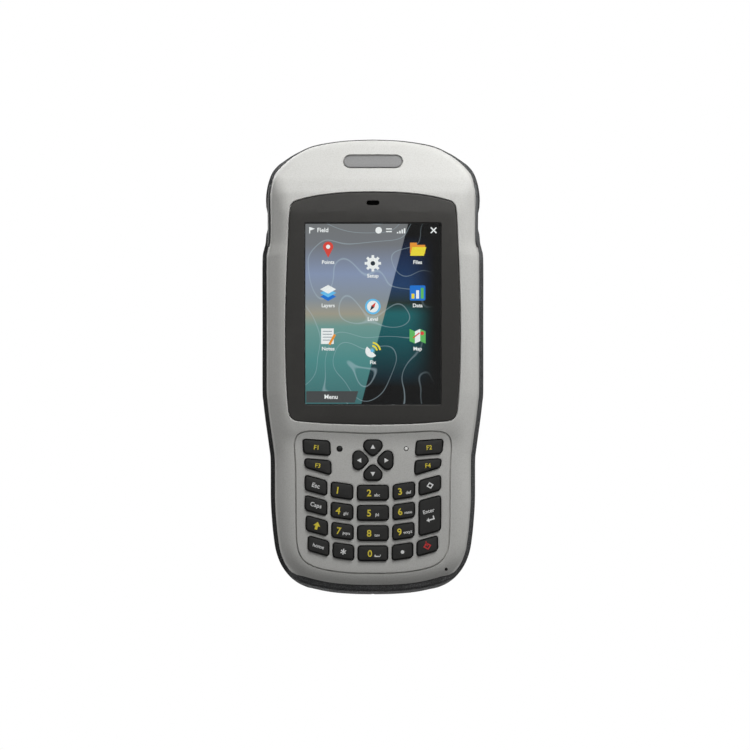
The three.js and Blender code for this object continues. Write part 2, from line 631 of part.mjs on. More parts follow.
// The layer of the case between two growths, such as a piece that follows its surface.
function caseLayer(inner, outer) {
  return cut(caseSolid(outer), caseSolid(inner));
}

// The regions in front of the joint line, behind it, and along it. Each is made of a bar drawn from the
// side, above the band's turn, and a bar drawn from the bottom end, below it.

const BAND_TURN = BAND_TURN_SHARE * CASE_HALF_LENGTH;
const SEAM_OVERLAP = 0.5;

function sideLine(shares) {
  const points = scaledPoints(shares, BODY_DEPTH, CASE_HALF_LENGTH);
  const [depth] = points[points.length - 1];
  return [...points, [depth, BAND_TURN]];
}

function endLine(shares) {
  const right = scaledPoints(shares, CASE_HALF_WIDTH, BODY_DEPTH);
  return [...mirrored(right).reverse(), ...right.slice(0, -1).reverse()];
}

function midLine(a, b) {
  return a.map((point, i) => [(point[0] + b[i][0]) / 2, (point[1] + b[i][1]) / 2]);
}

function region(frontSide, rearSide, frontEnd, rearEnd) {
  const side = sideBar(anticlockwise([...frontSide, ...[...rearSide].reverse()]), -WIDTH, WIDTH);
  const end = endBar(
    anticlockwise([...frontEnd, ...[...rearEnd].reverse()]),
    -LENGTH,
    BAND_TURN + SEAM_OVERLAP,
  );
  return join(side, end);
}

const bandSideFront = sideLine(BAND_FRONT_SHARES);
const bandSideRear = sideLine(BAND_REAR_SHARES);
const bandEndFront = endLine(BAND_FRONT_END_SHARES);
const bandEndRear = endLine(BAND_REAR_END_SHARES);
const seamSide = midLine(bandSideFront, bandSideRear);
const seamEnd = midLine(bandEndFront, bandEndRear);

// A line along the joint line, moved towards the back by a distance.
function seamSideAt(distance) {
  return shiftedLine(seamSide, -distance);
}

function seamEndAt(distance) {
  return shiftedLine(seamEnd, -distance);
}

function farSide(depth) {
  return seamSide.map(([, height]) => [depth, height]);
}

function farEnd(depth) {
  return seamEnd.map(([across]) => [across, depth]);
}

const seamHalf = SEAL_THICKNESS / 2 + GAP;
const frontRegion = region(
  farSide(-DEPTH), seamSideAt(-seamHalf), farEnd(-DEPTH), seamEndAt(-seamHalf),
);
const rearRegion = region(
  seamSideAt(seamHalf), farSide(2 * DEPTH), seamEndAt(seamHalf), farEnd(2 * DEPTH),
);
const sealRegion = region(
  seamSideAt(-SEAL_THICKNESS / 2), seamSideAt(SEAL_THICKNESS / 2),
  seamEndAt(-SEAL_THICKNESS / 2), seamEndAt(SEAL_THICKNESS / 2),
);
const bandRegion = region(bandSideFront, bandSideRear, bandEndFront, bandEndRear);
const bandChannelRegion = region(
  shiftedLine(bandSideFront, GAP), shiftedLine(bandSideRear, -GAP),
  shiftedLine(bandEndFront, GAP), shiftedLine(bandEndRear, -GAP),
);
const bandChannel = cut(bandChannelRegion, caseSolid(-BAND_SEAT - GAP));

// Screws and the bosses that they join

const SCREWS = [
  ...Object.entries(BODY_SCREW_SHARES).map(([name, share]) => ({
    name,
    across: caseHalfWidthAt(share * CASE_HALF_LENGTH) - BOSS.inset,
    height: share * CASE_HALF_LENGTH,
    seat: BODY_SCREW_SEAT,
  })),
  {
    name: "hump",
    across: HUMP_SCREW_SHARES.across * CASE_HALF_WIDTH,
    height: HUMP_SCREW_SHARES.height * CASE_HALF_LENGTH,
    seat: HUMP_SCREW_SEAT,
  },
].flatMap((screw) => [
  { ...screw, name: `screw_${screw.name}_right` },
  { ...screw, name: `screw_${screw.name}_left`, across: -screw.across },
]);

function screwGeometry() {
  const { head, headHeight, shank, length, drive, driveDepth, sides } = SCREW;
  const profile = [
    [0, -length], [shank / 2, -length], [shank / 2, 0], [head / 2, 0], [head / 2, headHeight],
    [drive / 2, headHeight], [drive / 2, headHeight - driveDepth], [0, headHeight - driveDepth],
  ];
  return new THREE.LatheGeometry(profile.map(([r, y]) => new THREE.Vector2(r, y)), sides);
}

const bosses = SCREWS.map(({ across, height }) =>
  rod("y", BOSS.diameter, [across, 0, height], 0, DEPTH, SCREW.sides),
);
const pilotHoles = SCREWS.map(({ across, height, seat }) => {
  const end = seat - SCREW.length - BOSS.pilotExtra;
  return rod("y", BOSS.pilot, [across, 0, height], end, seat + OVERRUN, SCREW.sides);
});
const screwPockets = SCREWS.map(({ across, height, seat }) =>
  rod("y", BOSS.pocket, [across, 0, height], seat, seat + OVERRUN, ROUND_SIDES),
);

// Keys: one solid each, with a chamfered top and a flange behind the front wall that keeps it in.

function rowLine(row, x) {
  return FIRST_ROW - row * KEY_ROW_PITCH + ROW_RISE * (x / ROW_REACH) ** 2;
}

function rowKey([from, to], row, lastRow = row) {
  const pull = ROW_PULL_SHARES[row];
  const [a, b] = [from * pull, to * pull];
  return [
    [a, rowLine(row, from)],
    [a, rowLine(lastRow, from) - KEY_HEIGHT],
    [b, rowLine(lastRow, to) - KEY_HEIGHT],
    [b, rowLine(row, to)],
  ];
}

function leftColumn([from, to]) {
  return [-to, -from];
}

const { middle, inner, outer } = Object.fromEntries(
  Object.entries(KEY_COLUMN_SHARES).map(([name, ends]) => [name, ends.map((end) => end * ROW_REACH)]),
);
const reachPoints = (shares) => scaledPoints(shares, ROW_REACH, CASE_HALF_LENGTH);
const KEY_PLAN = {
  key_f1: reachPoints(KEY_F1_SHARES),
  key_f2: mirrored(reachPoints(KEY_F1_SHARES)),
  key_f3: reachPoints(KEY_F3_SHARES),
  key_f4: mirrored(reachPoints(KEY_F3_SHARES)),
  key_up: arrowKey(0),
  key_left: arrowKey(1),
  key_down: arrowKey(2),
  key_right: arrowKey(3),
  key_escape: rowKey(leftColumn(outer), 0),
  key_caps: rowKey(leftColumn(outer), 1),
  key_shift: rowKey(leftColumn(outer), 2),
  key_home: rowKey(leftColumn(outer), 3),
  key_1: rowKey(leftColumn(inner), 0),
  key_2: rowKey(middle, 0),
  key_3: rowKey(inner, 0),
  key_4: rowKey(leftColumn(inner), 1),
  key_5: rowKey(middle, 1),
  key_6: rowKey(inner, 1),
  key_7: rowKey(leftColumn(inner), 2),
  key_8: rowKey(middle, 2),
  key_9: rowKey(inner, 2),
  key_star: rowKey(leftColumn(inner), 3),
  key_0: rowKey(middle, 3),
  key_dot: rowKey(inner, 3),
  key_back: rowKey(outer, 0),
  key_enter: rowKey(outer, 1, 2),
  key_power: rowKey(outer, 3),
};

function arrowKey(quarterTurns) {
  const angle = (quarterTurns * Math.PI) / 2;
  return scaledPoints(ARROW_SHARES, ARROW_SPACE, ARROW_SPACE).map(([x, y]) => [
    x * Math.cos(angle) - y * Math.sin(angle),
    ARROW_MIDDLE + x * Math.sin(angle) + y * Math.cos(angle),
  ]);
}

const keyFlangeFront = KEYPAD_DEPTH + WALL + GAP;
const keyRear = keyFlangeFront + KEY_FLANGE_THICKNESS;
const keyOutlines = Object.entries(KEY_PLAN).map(([name, corners]) => ({
  name,
  outline: rounded(anticlockwise(corners), KEY_CORNER, 1),
}));

function keyGeometry(outline) {
  return stack(outline, [
    [KEY_TOP, -KEY_EDGE],
    [KEY_TOP + KEY_EDGE, 0],
    [keyFlangeFront, 0],
    [keyFlangeFront, KEY_FLANGE],
    [keyRear, KEY_FLANGE],
  ]);
}

const keyHoles = keyOutlines.map(({ outline }) =>
  frontPlate(grown(outline, GAP), -OVERRUN, keyFlangeFront),
);

// Openings of the front housing for the screen, the lights and the sound

const bezelHalf = scaledPoints(BEZEL_SHARES, CASE_HALF_WIDTH, CASE_HALF_LENGTH);
const bezelOutline = anticlockwise([...bezelHalf, ...mirrored(bezelHalf.slice(1, -1))]);
const windowOutline = rectangle(
  DISPLAY_WIDTH + 2 * DISPLAY_MARGIN, DISPLAY_HEIGHT + 2 * DISPLAY_MARGIN, 0, DISPLAY_MIDDLE,
);
const displayOutline = rectangle(DISPLAY_WIDTH, DISPLAY_HEIGHT, 0, DISPLAY_MIDDLE);
const earpieceOutline = pill(EARPIECE.width, EARPIECE.height, 0, EARPIECE.middle, 4);
const badgeOutline = pill(BADGE.width, BADGE.height, 0, BADGE.middle);
const groovePath = rounded(anticlockwise(reachPoints(GROOVE_SHARES)), GROOVE_CORNER);
const bezelRear = BEZEL_SINK + BEZEL_THICKNESS;
const touchFront = bezelRear + GAP;
const lcdFront = touchFront + TOUCH_PANEL_THICKNESS + GAP;

function lightHole(across, diameter) {
  return rod("y", diameter, [across, 0, LIGHT.height], -OVERRUN, LIGHT_BAR.front, ROUND_SIDES);
}

function microphoneHole() {
  const { across, height, diameter, depth, sides } = MICROPHONE;
  return cut(rod("y", diameter, [across, 0, height], -OVERRUN, DEPTH, sides), caseSolid(-depth));
}

function keypadGroove() {
  const layers = (growth) => frontPlate(grown(groovePath, growth), -OVERRUN, KEYPAD_DEPTH + WALL);
  return cut(layers(GROOVE_WIDTH / 2), layers(-GROOVE_WIDTH / 2), caseSolid(-GROOVE_DEPTH));
}

// Side ports, mirrored left and right

const sideCoverOutline = scaledPoints(SIDE_COVER_SHARES, BODY_DEPTH, CASE_HALF_LENGTH);

function sideReach(points, side) {
  const [from, to] = side > 0 ? [SIDE_PORT.blockInner, WIDTH] : [-WIDTH, -SIDE_PORT.blockInner];
  return sideBar(anticlockwise(points), from, to);
}

function sideCover(side) {
  return overlap(sideReach(sideCoverOutline, side), caseLayer(-COVER_SEAT, COVER_PROUD));
}

function sideCoverRecess(side) {
  const [tabDepth, tabHeight] = sideCoverOutline[0];
  const scoop = circle(COVER_SCOOP.radius, tabDepth, tabHeight - COVER_SCOOP.drop);
  return join(
    cut(sideReach(grown(anticlockwise(sideCoverOutline), GAP), side), caseSolid(-COVER_SEAT - GAP)),
    cut(sideReach(scoop, side), caseSolid(-COVER_SCOOP.depth)),
  );
}

function circle(radius, x, y, sides = ROUND_SIDES) {
  return Array.from({ length: sides }, (_, i) => {
    const angle = (2 * Math.PI * i) / sides;
    return [x + radius * Math.cos(angle), y + radius * Math.sin(angle)];
  });
}

// Wall behind a side cover, thick enough to carry the jack.
function sidePortBlock(side) {
  const outline = grown(anticlockwise(sideCoverOutline), SIDE_PORT.blockMargin);
  return overlap(sideReach(outline, side), caseSolid());
}

// Both jacks lie just behind the board.
function sidePortDepth() {
  return boardRear + GAP + POWER_JACK.width / 2;
}

function jack(side, size) {
  const depth = sidePortDepth();
  const place = [0, depth, SIDE_PORT.height];
  const span = (from, to) => (side > 0 ? [from, to] : [-to, -from]);
  const rear = SIDE_PORT.blockInner - GAP;
  const mouth = rear + JACK_NOSE_LENGTH;
  const half = size.width / 2;
  const body = box(
    span(rear - size.length, rear),
    [depth - half, depth + half],
    [SIDE_PORT.height - half, SIDE_PORT.height + half],
  );
  const nose = rod("x", size.nose, place, ...span(rear - GAP, mouth));
  const bore = rod("x", size.bore, place, ...span(mouth - size.boreDepth, mouth + OVERRUN));
  const pin = rod("x", size.pin, place, ...span(mouth - size.boreDepth - GAP, mouth - GAP), SCREW.sides);
  return join(cut(join(body, nose), bore), pin);
}

function jackHole(side, size) {
  const place = [0, sidePortDepth(), SIDE_PORT.height];
  const [from, to] = side > 0 ? [0, WIDTH] : [-WIDTH, 0];
  return rod("x", size.nose + 2 * GAP, place, from, to);
}

// Bottom end

const endCoverWidth = 2 * END_COVER.halfWidth;
const endCoverMiddle = (END_COVER.front + END_COVER.rear) / 2;
const endCoverOutline = rounded(
  rectangle(endCoverWidth, END_COVER.rear - END_COVER.front, 0, endCoverMiddle), END_COVER.corner,
);
const endTop = -CASE_HALF_LENGTH + END_COVER_REACH;

function endTabOutline() {
  const { hold, reach, front, rear } = END_TAB;
  const edge = END_COVER.halfWidth;
  const points = [
    [edge - hold, front], [edge, front], [edge + reach, (front + rear) / 2], [edge, rear],
    [edge - hold, rear],
  ];
  return rounded(points, END_COVER.corner / 2);
}

function interfaceCover() {
  const plate = overlap(endBar(endCoverOutline, -LENGTH, endTop), caseLayer(-COVER_SEAT, END_COVER.proud));
  const tab = overlap(endBar(endTabOutline(), -LENGTH, endTop), caseLayer(GAP, END_TAB.proud));
  return join(plate, tab);
}

function endRecess() {
  const scoop = circle(END_SCOOP.radius, END_COVER.halfWidth + END_SCOOP.reach, END_SCOOP.depth);
  return join(
    cut(endBar(grown(endCoverOutline, GAP), -LENGTH, endTop), caseSolid(-COVER_SEAT - GAP)),
    cut(endBar(scoop, -LENGTH, endTop), caseSolid(-END_SCOOP.cut)),
  );
}

function serialShell(growth) {
  const { across, depth, wide, narrow, height, corner } = SERIAL;
  const h = height / 2;
  const points = [[-wide / 2, -h], [wide / 2, -h], [narrow / 2, h], [-narrow / 2, h]];
  const placed = points.map(([x, y]) => [x + across, y + depth]);
  return grown(rounded(placed, corner), growth);
}

function usbShell(growth) {
  const { across, depth, width, height, cut: slope } = USB;
  const [w, h] = [width / 2, height / 2];
  const points = [[-w + slope, -h], [w - slope, -h], [w, -h + slope], [w, h], [-w, h], [-w, -h + slope]];
  return grown(points.map(([x, y]) => [x + across, y + depth]), growth);
}

function serialPort() {
  const { across, depth, wall, mouthDepth, flangeWidth, flangeHeight, flangeThickness } = SERIAL;
  const flangeBottom = PORT_BLOCK.inner + GAP;
  const flangeTop = flangeBottom + flangeThickness;
  const shell = endBar(serialShell(0), PORT_MOUTH, flangeTop);
  const flange = endBar(rectangle(flangeWidth, flangeHeight, across, depth), flangeBottom, flangeTop);
  const body = endBar(
    rectangle(SERIAL.bodyWidth, SERIAL.bodyHeight, across, depth), flangeBottom, flangeTop + SERIAL.length,
  );
  const mouth = endBar(serialShell(-wall), -LENGTH, PORT_MOUTH + mouthDepth);
  const pins = [
    [SERIAL.longRow, -1],
    [SERIAL.shortRow, 1],
  ].flatMap(([count, row]) =>
    Array.from({ length: count }, (_, i) => {
      const x = across + (i - (count - 1) / 2) * SERIAL.pinPitch;
      const y = depth + (row * SERIAL.rowPitch) / 2;
      const top = PORT_MOUTH + mouthDepth + GAP;
      return rod("z", SERIAL.pin, [x, y, 0], top - GAP - SERIAL.pinLength, top, SERIAL.pinSides);
    }),
  );
  return join(cut(join(shell, flange, body), mouth), ...pins);
}

function usbPort() {
  const { across, depth, wall, mouthDepth, tongueWidth, tongueHeight, length } = USB;
  const top = PORT_MOUTH + length;
  const flangeBottom = PORT_BLOCK.inner + GAP;
  const shell = endBar(usbShell(0), PORT_MOUTH, top);
  const flange = endBar(usbShell(wall), flangeBottom, top);
  const mouth = endBar(usbShell(-wall), -LENGTH, PORT_MOUTH + mouthDepth);
  const tongue = endBar(
    rectangle(tongueWidth, tongueHeight, across, depth), PORT_MOUTH + GAP, PORT_MOUTH + mouthDepth + GAP,
  );
  return join(cut(join(shell, flange), mouth), tongue);
}

// Back of the case

const batteryRear = BATTERY.front + BATTERY.thickness;
const bayWidth = BATTERY.width + 2 * BAY_CLEARANCE;
const bayLength = BATTERY.length + 2 * BAY_CLEARANCE;
const bayFront = BATTERY.front - GAP;
const doorSeat = DOOR_FRONT - GAP;
const doorOutline = rounded(rectangle(DOOR.width, DOOR.length, 0, DOOR.middle), DOOR.corner, 3);
const doorRecessOutline = grown(doorOutline, GAP);

function bayShell() {
  const outerBox = rectangle(bayWidth + 2 * BAY_WALL, bayLength + 2 * BAY_WALL, 0, BATTERY.middle);
  const frame = overlap(
    frontPlate(grown(doorRecessOutline, DOOR_FRAME_BORDER), doorSeat - DOOR_LEDGE, DEPTH),
    caseSolid(),
  );
  return join(frontPlate(outerBox, bayFront - BAY_WALL, doorSeat), frame);
}

function bayCuts() {
  return [
    frontPlate(
      rounded(rectangle(bayWidth, bayLength, 0, BATTERY.middle), BATTERY.corner), bayFront, DEPTH + OVERRUN,
    ),
    frontPlate(doorRecessOutline, doorSeat, DEPTH + OVERRUN),
  ];
}

function batteryDoor() {
  const latchSlot = rectangle(
    LATCH.width + 2 * GAP, LATCH.length + LATCH.travel + 2 * GAP, 0, LATCH.middle - LATCH.travel / 2,
  );
  return cut(
    frontPlate(doorOutline, DOOR_FRONT, BODY_DEPTH),
    frontPlate(latchSlot, DOOR_FRONT - OVERRUN, DEPTH),
  );
}

function doorLatch() {
  const flangeRear = DOOR_FRONT - GAP;
  const thumb = frontPlate(
    rectangle(LATCH.width, LATCH.length, 0, LATCH.middle), flangeRear - GAP, BODY_DEPTH + LATCH.proud,
  );
  const flange = frontPlate(
    rectangle(LATCH.flangeWidth, LATCH.flangeLength, 0, LATCH.middle),
    flangeRear - LATCH.flangeThickness,
    flangeRear,
  );
  return join(thumb, flange);
}

function strapBlock() {
  const { halfWidth, front, top } = STRAP_BLOCK;
  return overlap(box([-halfWidth, halfWidth], [front, DEPTH], [HUMP_FOOT, top]), caseSolid());
}

function strapSlotCuts() {
  const { halfWidth, front, rear, top } = STRAP_SLOT;
  const { diameter, length, depth, height } = STRAP_BAR;
  return [
    box([-halfWidth, halfWidth], [front, rear], [HUMP_FOOT, top]),
    rod("x", diameter + 2 * GAP, [0, depth, height], -length / 2 - GAP, length / 2 + GAP),
  ];
}

function hoodSection(baseHalf, topHalf, front, rear) {
  return [[-baseHalf, front], [baseHalf, front], [topHalf, rear], [-topHalf, rear]];
}

// Raised bridge at the foot of the back, which the lower end of the hand strap passes through.
function strapHood() {
  const rear = BODY_DEPTH + HOOD.rise;
  const front = BODY_DEPTH - WALL;
  const section = hoodSection(HOOD.baseHalfWidth, HOOD.topHalfWidth, BODY_DEPTH, rear);
  const [rightFoot, leftFoot] = [[HOOD.baseHalfWidth, front], [-HOOD.baseHalfWidth, front]];
  const outline = anticlockwise([leftFoot, rightFoot, ...section.slice(1), section[0]]);
  const across = endBar(outline, HOOD.bottom, HOOD.top);
  const profile = [
    [front, HOOD.bottom], [rear, HOOD.bottom], [rear, HOOD.top - HOOD.ramp], [BODY_DEPTH, HOOD.top],
    [front, HOOD.top],
  ];
  const pad = box(
    [-HOOD.padHalfWidth, HOOD.padHalfWidth], [HOOD.openFront - HOOD.padDepth, BODY_DEPTH],
    [-LENGTH, HOOD.openTop + HOOD.bridge],
  );
  return join(
    overlap(across, sideBar(anticlockwise(profile), -WIDTH, WIDTH)),
    overlap(pad, caseSolid()),
  );
}

function strapHoodCut() {
  const rear = BODY_DEPTH + HOOD.rise - HOOD.bridge;
  const section = hoodSection(HOOD.openBaseHalfWidth, HOOD.openTopHalfWidth, HOOD.openFront, rear);
  return endBar(anticlockwise(section), -LENGTH, HOOD.openTop);
}

function cameraSolid() {
  const { across, height, ring, barrel, ringProud, length, lens, lensDepth } = CAMERA;
  const place = [across, 0, height];
  const ringRear = BODY_DEPTH + ringProud;
  return cut(
    join(
      rod("y", ring, place, BODY_DEPTH + GAP, ringRear),
      rod("y", barrel, place, BODY_DEPTH - length, BODY_DEPTH + 2 * GAP),
    ),
    rod("y", lens, place, ringRear - lensDepth, ringRear + OVERRUN),
  );
}

// Inside

const matFront = keyRear + KEY_TRAVEL + MAT.margin;
const boardFront = matFront + MAT.thickness + GAP;
const boardRear = boardFront + BOARD.thickness;

function keypadMat() {
  const { halfWidth, top, bottom, corner } = MAT;
  const corners = [[-halfWidth, bottom], [halfWidth, bottom], [halfWidth, top], [-halfWidth, top]];
  return frontPlate(rounded(corners, corner), matFront, matFront + MAT.thickness);
}

function lightPipes() {
  const { across, height, leftDiameter, rightDiameter, sink } = LIGHT;
  const { height: barHeight, width, front, thickness } = LIGHT_BAR;
  const rear = front + thickness;
  const half = width / 2;
  const lens = (x, diameter) =>
    rod("y", diameter - 2 * GAP, [x, 0, height], KEYPAD_DEPTH + sink, rear, ROUND_SIDES / 2);
  const arm = (x) => box([x - half, x + half], [front, rear], [height, barHeight + half]);
  return join(
    lens(-across, leftDiameter),
    lens(across, rightDiameter),
    arm(-across),
    arm(across),
    box([-across, across], [front, rear], [barHeight - half, barHeight + half]),
  );
}

// The board passes between the screws' bosses and is narrower beside the lower ones.
function mainBoard() {
  const { clear, top, neck, bottom } = BOARD;
  const beside = (name) => SCREWS.find((screw) => screw.name === name).across - BOSS.diameter / 2 - clear;
  const [wide, narrow] = [beside("screw_upper_right"), beside("screw_lower_right")];
  const outline = [
    [-narrow, bottom], [narrow, bottom], [narrow, neck], [wide, neck], [wide, top], [-wide, top],
    [-wide, neck], [-narrow, neck],
  ];
  const space = bayFront - BAY_WALL - boardRear;
  const part = ({ width, length, middle: at }, height) =>
    frontPlate(rectangle(width, length, 0, at), boardRear - GAP, boardRear + height);
  return join(
    frontPlate(outline, boardFront, boardRear),
    part(SHIELD_CAN, PART_THICKNESS_SHARES.shieldCan * space),
    part(CONNECTOR, PART_THICKNESS_SHARES.connector * space),
    part(CONTACT_BLOCK, space - GAP),
  );
}

function satelliteAntenna() {
  const { width, length, thickness, middle: at } = SATELLITE_ANTENNA;
  const rear = STRAP_BLOCK.front - GAP;
  return frontPlate(rectangle(width, length, 0, at), rear - thickness, rear);
}

function loudspeaker() {
  const { width, height, thickness, front, middle: at } = LOUDSPEAKER;
  return frontPlate(rectangle(width, height, 0, at), front, front + thickness);
}

// The two halves of the case

const shell = cut(caseSolid(), caseSolid(-WALL));
const bossShell = join(shell, ...bosses.map((boss) => overlap(boss, caseSolid())));

function frontHousing() {
  const blocks = [sidePortBlock(1), sidePortBlock(-1)];
  const solid = overlap(join(bossShell, ...blocks), frontRegion);
  return cut(
    solid,
    bandChannel,
    ...pilotHoles,
    ...keyHoles,
    cut(frontPlate(grown(bezelOutline, GAP), -OVERRUN, DEPTH), caseSolid(-bezelRear - GAP)),
    frontPlate(grown(windowOutline, GAP), -OVERRUN, lcdFront),
    frontPlate(earpieceOutline, -OVERRUN, LOUDSPEAKER.front),
    cut(
      frontPlate(grown(badgeOutline, GAP), -OVERRUN, BODY_DEPTH),
      caseSolid(-BADGE.sink - BADGE.thickness - GAP),
    ),
    keypadGroove(),
    lightHole(-LIGHT.across, LIGHT.leftDiameter),
    lightHole(LIGHT.across, LIGHT.rightDiameter),
    microphoneHole(),
    sideCoverRecess(1),
    sideCoverRecess(-1),
    jackHole(1, POWER_JACK),
    jackHole(-1, ANTENNA_JACK),
  );
}

function rearHousing() {
  const { halfWidth, front, rear, inner: blockTop } = PORT_BLOCK;
  const portBlock = overlap(box([-halfWidth, halfWidth], [front, rear], [-LENGTH, blockTop]), caseSolid());
  const solid = join(
    overlap(join(bossShell, portBlock), rearRegion),
    bayShell(),
    strapBlock(),
    strapHood(),
  );
  return cut(
    solid,
    bandChannel,
    ...pilotHoles,
    ...screwPockets,
    ...bayCuts(),
    ...strapSlotCuts(),
    strapHoodCut(),
    endRecess(),
    endBar(serialShell(GAP), -LENGTH, blockTop + GAP),
    endBar(usbShell(GAP), -LENGTH, blockTop + GAP),
    rod("y", CAMERA.barrel + 2 * GAP, [CAMERA.across, 0, CAMERA.height], BODY_DEPTH - OVERRUN / 2, DEPTH),
  );
}

// The finished parts

const device = new THREE.Group();
device.position.set(0, -DEPTH / 2, LENGTH / 2);

function add(name, solid, material) {
  const mesh = new THREE.Mesh(geometryOf(solid), material);
  mesh.name = name;
  device.add(mesh);
}

add("front_housing", frontHousing(), MATERIALS.case);
add("rear_housing", rearHousing(), MATERIALS.caseRear);
add("bumper_band", overlap(caseLayer(-BAND_SEAT, BAND_PROUD), bandRegion), MATERIALS.rubber);
add("housing_seal", overlap(caseLayer(-WALL, -BAND_SEAT - GAP), sealRegion), MATERIALS.mat);
add(
  "screen_bezel",
  cut(
    overlap(frontPlate(bezelOutline, -OVERRUN, BODY_DEPTH / 2), caseLayer(-bezelRear, -BEZEL_SINK)),
    frontPlate(displayOutline, -OVERRUN, DEPTH),
    frontPlate(earpieceOutline, -OVERRUN, DEPTH),
  ),
  MATERIALS.bezel,
);
add(
  "touch_panel",
  frontPlate(windowOutline, touchFront, touchFront + TOUCH_PANEL_THICKNESS),
  MATERIALS.glass,
);
add(
  "lcd_module",
  frontPlate(grown(displayOutline, LCD_BORDER), lcdFront, lcdFront + LCD_THICKNESS),
  MATERIALS.display,
);
add(
  "badge_plate",
  overlap(
    frontPlate(badgeOutline, -OVERRUN, BODY_DEPTH),
    caseLayer(-BADGE.sink - BADGE.thickness, -BADGE.sink),
  ),
  MATERIALS.badge,
);
add("keypad_mat", keypadMat(), MATERIALS.mat);
add("light_pipes", lightPipes(), MATERIALS.lens);
add("main_board", mainBoard(), MATERIALS.board);
add("satellite_antenna", satelliteAntenna(), MATERIALS.antenna);
add("loudspeaker", loudspeaker(), MATERIALS.mat);
add(
  "battery_pack",
  frontPlate(
    rounded(rectangle(BATTERY.width, BATTERY.length, 0, BATTERY.middle), BATTERY.corner),
    BATTERY.front,
    batteryRear,
  ),
  MATERIALS.cell,
);
add("battery_door", batteryDoor(), MATERIALS.caseRear);
add("door_latch", doorLatch(), MATERIALS.cover);
add("power_port_cover", sideCover(1), MATERIALS.cover);
add("antenna_port_cover", sideCover(-1), MATERIALS.cover);
add("interface_cover", interfaceCover(), MATERIALS.cover);
add("power_jack", jack(1, POWER_JACK), MATERIALS.contact);
add("antenna_jack", jack(-1, ANTENNA_JACK), MATERIALS.contact);
add("serial_port", serialPort(), MATERIALS.steel);
add("usb_port", usbPort(), MATERIALS.steel);
add("camera", cameraSolid(), MATERIALS.bezel);
add(
  "strap_bar",
  rod(
    "x",
    STRAP_BAR.diameter,
    [0, STRAP_BAR.depth, STRAP_BAR.height],
    -STRAP_BAR.length / 2,
    STRAP_BAR.length / 2,
  ),
  MATERIALS.steel,
);

for (const { name, outline } of keyOutlines) {
  add(name, solidOf(keyGeometry(outline)), MATERIALS.key);
}

for (const { name, across, height, seat } of SCREWS) {
  const screw = new THREE.Mesh(screwGeometry(), MATERIALS.steel);
  screw.name = name;
  screw.position.set(across, seat + GAP, height);
  device.add(screw);
}

const collector = new THREE.Group();
collector.add(device);

export default collector;
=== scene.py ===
"""Rugged handheld data collector: a lit touch screen over a keypad, in a two-part moulded case with a
rubber band round its joint line, an antenna hump at the top of the back and covered ports on three sides.

Shapes are worked out in millimetres in the device's own frame (across, depth, height): depth runs from the
front face towards the back and height from the middle of the length. Finished pieces are in metres.
"""

from __future__ import annotations

import json
import logging
import math
from dataclasses import dataclass, field
from enum import Enum
from typing import Callable, Sequence

import bpy
import numpy as np
from bpy.types import Material, Mesh, Node, NodeSocket, NodeTree, Object
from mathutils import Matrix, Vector

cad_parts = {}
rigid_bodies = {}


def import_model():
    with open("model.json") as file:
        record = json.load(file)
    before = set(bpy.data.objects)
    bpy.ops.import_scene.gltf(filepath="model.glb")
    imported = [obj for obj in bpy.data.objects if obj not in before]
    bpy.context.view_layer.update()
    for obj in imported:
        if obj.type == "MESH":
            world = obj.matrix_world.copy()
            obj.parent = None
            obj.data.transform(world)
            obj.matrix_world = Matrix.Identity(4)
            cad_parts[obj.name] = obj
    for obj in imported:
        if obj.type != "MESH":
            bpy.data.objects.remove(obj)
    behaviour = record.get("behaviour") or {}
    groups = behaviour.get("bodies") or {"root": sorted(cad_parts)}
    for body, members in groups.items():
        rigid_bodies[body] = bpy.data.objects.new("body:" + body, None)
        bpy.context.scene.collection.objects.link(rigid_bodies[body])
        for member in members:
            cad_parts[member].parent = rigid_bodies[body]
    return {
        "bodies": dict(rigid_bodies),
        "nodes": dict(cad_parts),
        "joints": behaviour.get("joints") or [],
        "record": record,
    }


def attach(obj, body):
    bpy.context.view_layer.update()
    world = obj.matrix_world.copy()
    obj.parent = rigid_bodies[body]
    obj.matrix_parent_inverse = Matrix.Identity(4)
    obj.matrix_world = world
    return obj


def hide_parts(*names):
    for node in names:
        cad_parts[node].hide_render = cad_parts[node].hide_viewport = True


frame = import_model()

logging.basicConfig(level=logging.INFO, format="%(levelname)s %(message)s")
log = logging.getLogger("collector")

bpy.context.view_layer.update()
MM = 0.001
ORIGIN = np.array([0.0, 21.0, -95.25])
MERGE_DISTANCE = 1e-3
RAY_REACH, RAY_HALVINGS = 28.0, 22
BEFORE, BEHIND, BELOW = -5.0, 60.0, -140.0
Array = np.ndarray
Pair = tuple[float, float]
Triple = tuple[float, float, float]
Numbers = tuple[float, ...]
Field = Callable[[Array], Array]
Levels = Sequence[Pair]
Shares = Sequence[Sequence[float]]


# Numbers and outlines


def linear(code: int) -> tuple[float, float, float, float]:
    """A written screen colour 0xRRGGBB as linear red, green, blue and full alpha."""
    parts = [((code >> shift) & 255) / 255 for shift in (16, 8, 0)]
    red, green, blue = (c / 12.92 if c <= 0.04045 else ((c + 0.055) / 1.055) ** 2.4 for c in parts)
    return red, green, blue, 1.0


def smooth_max(a: Array, b: Array, radius: float) -> Array:
    """The larger of two fields, rounded where they differ by less than the radius.

    Formula: max(a, b) plus h squared over four radii, where h is the radius less the difference, or zero.
    """
    h = np.clip(radius - np.abs(a - b), 0, None)
    return np.maximum(a, b) + h * h / (4 * radius)


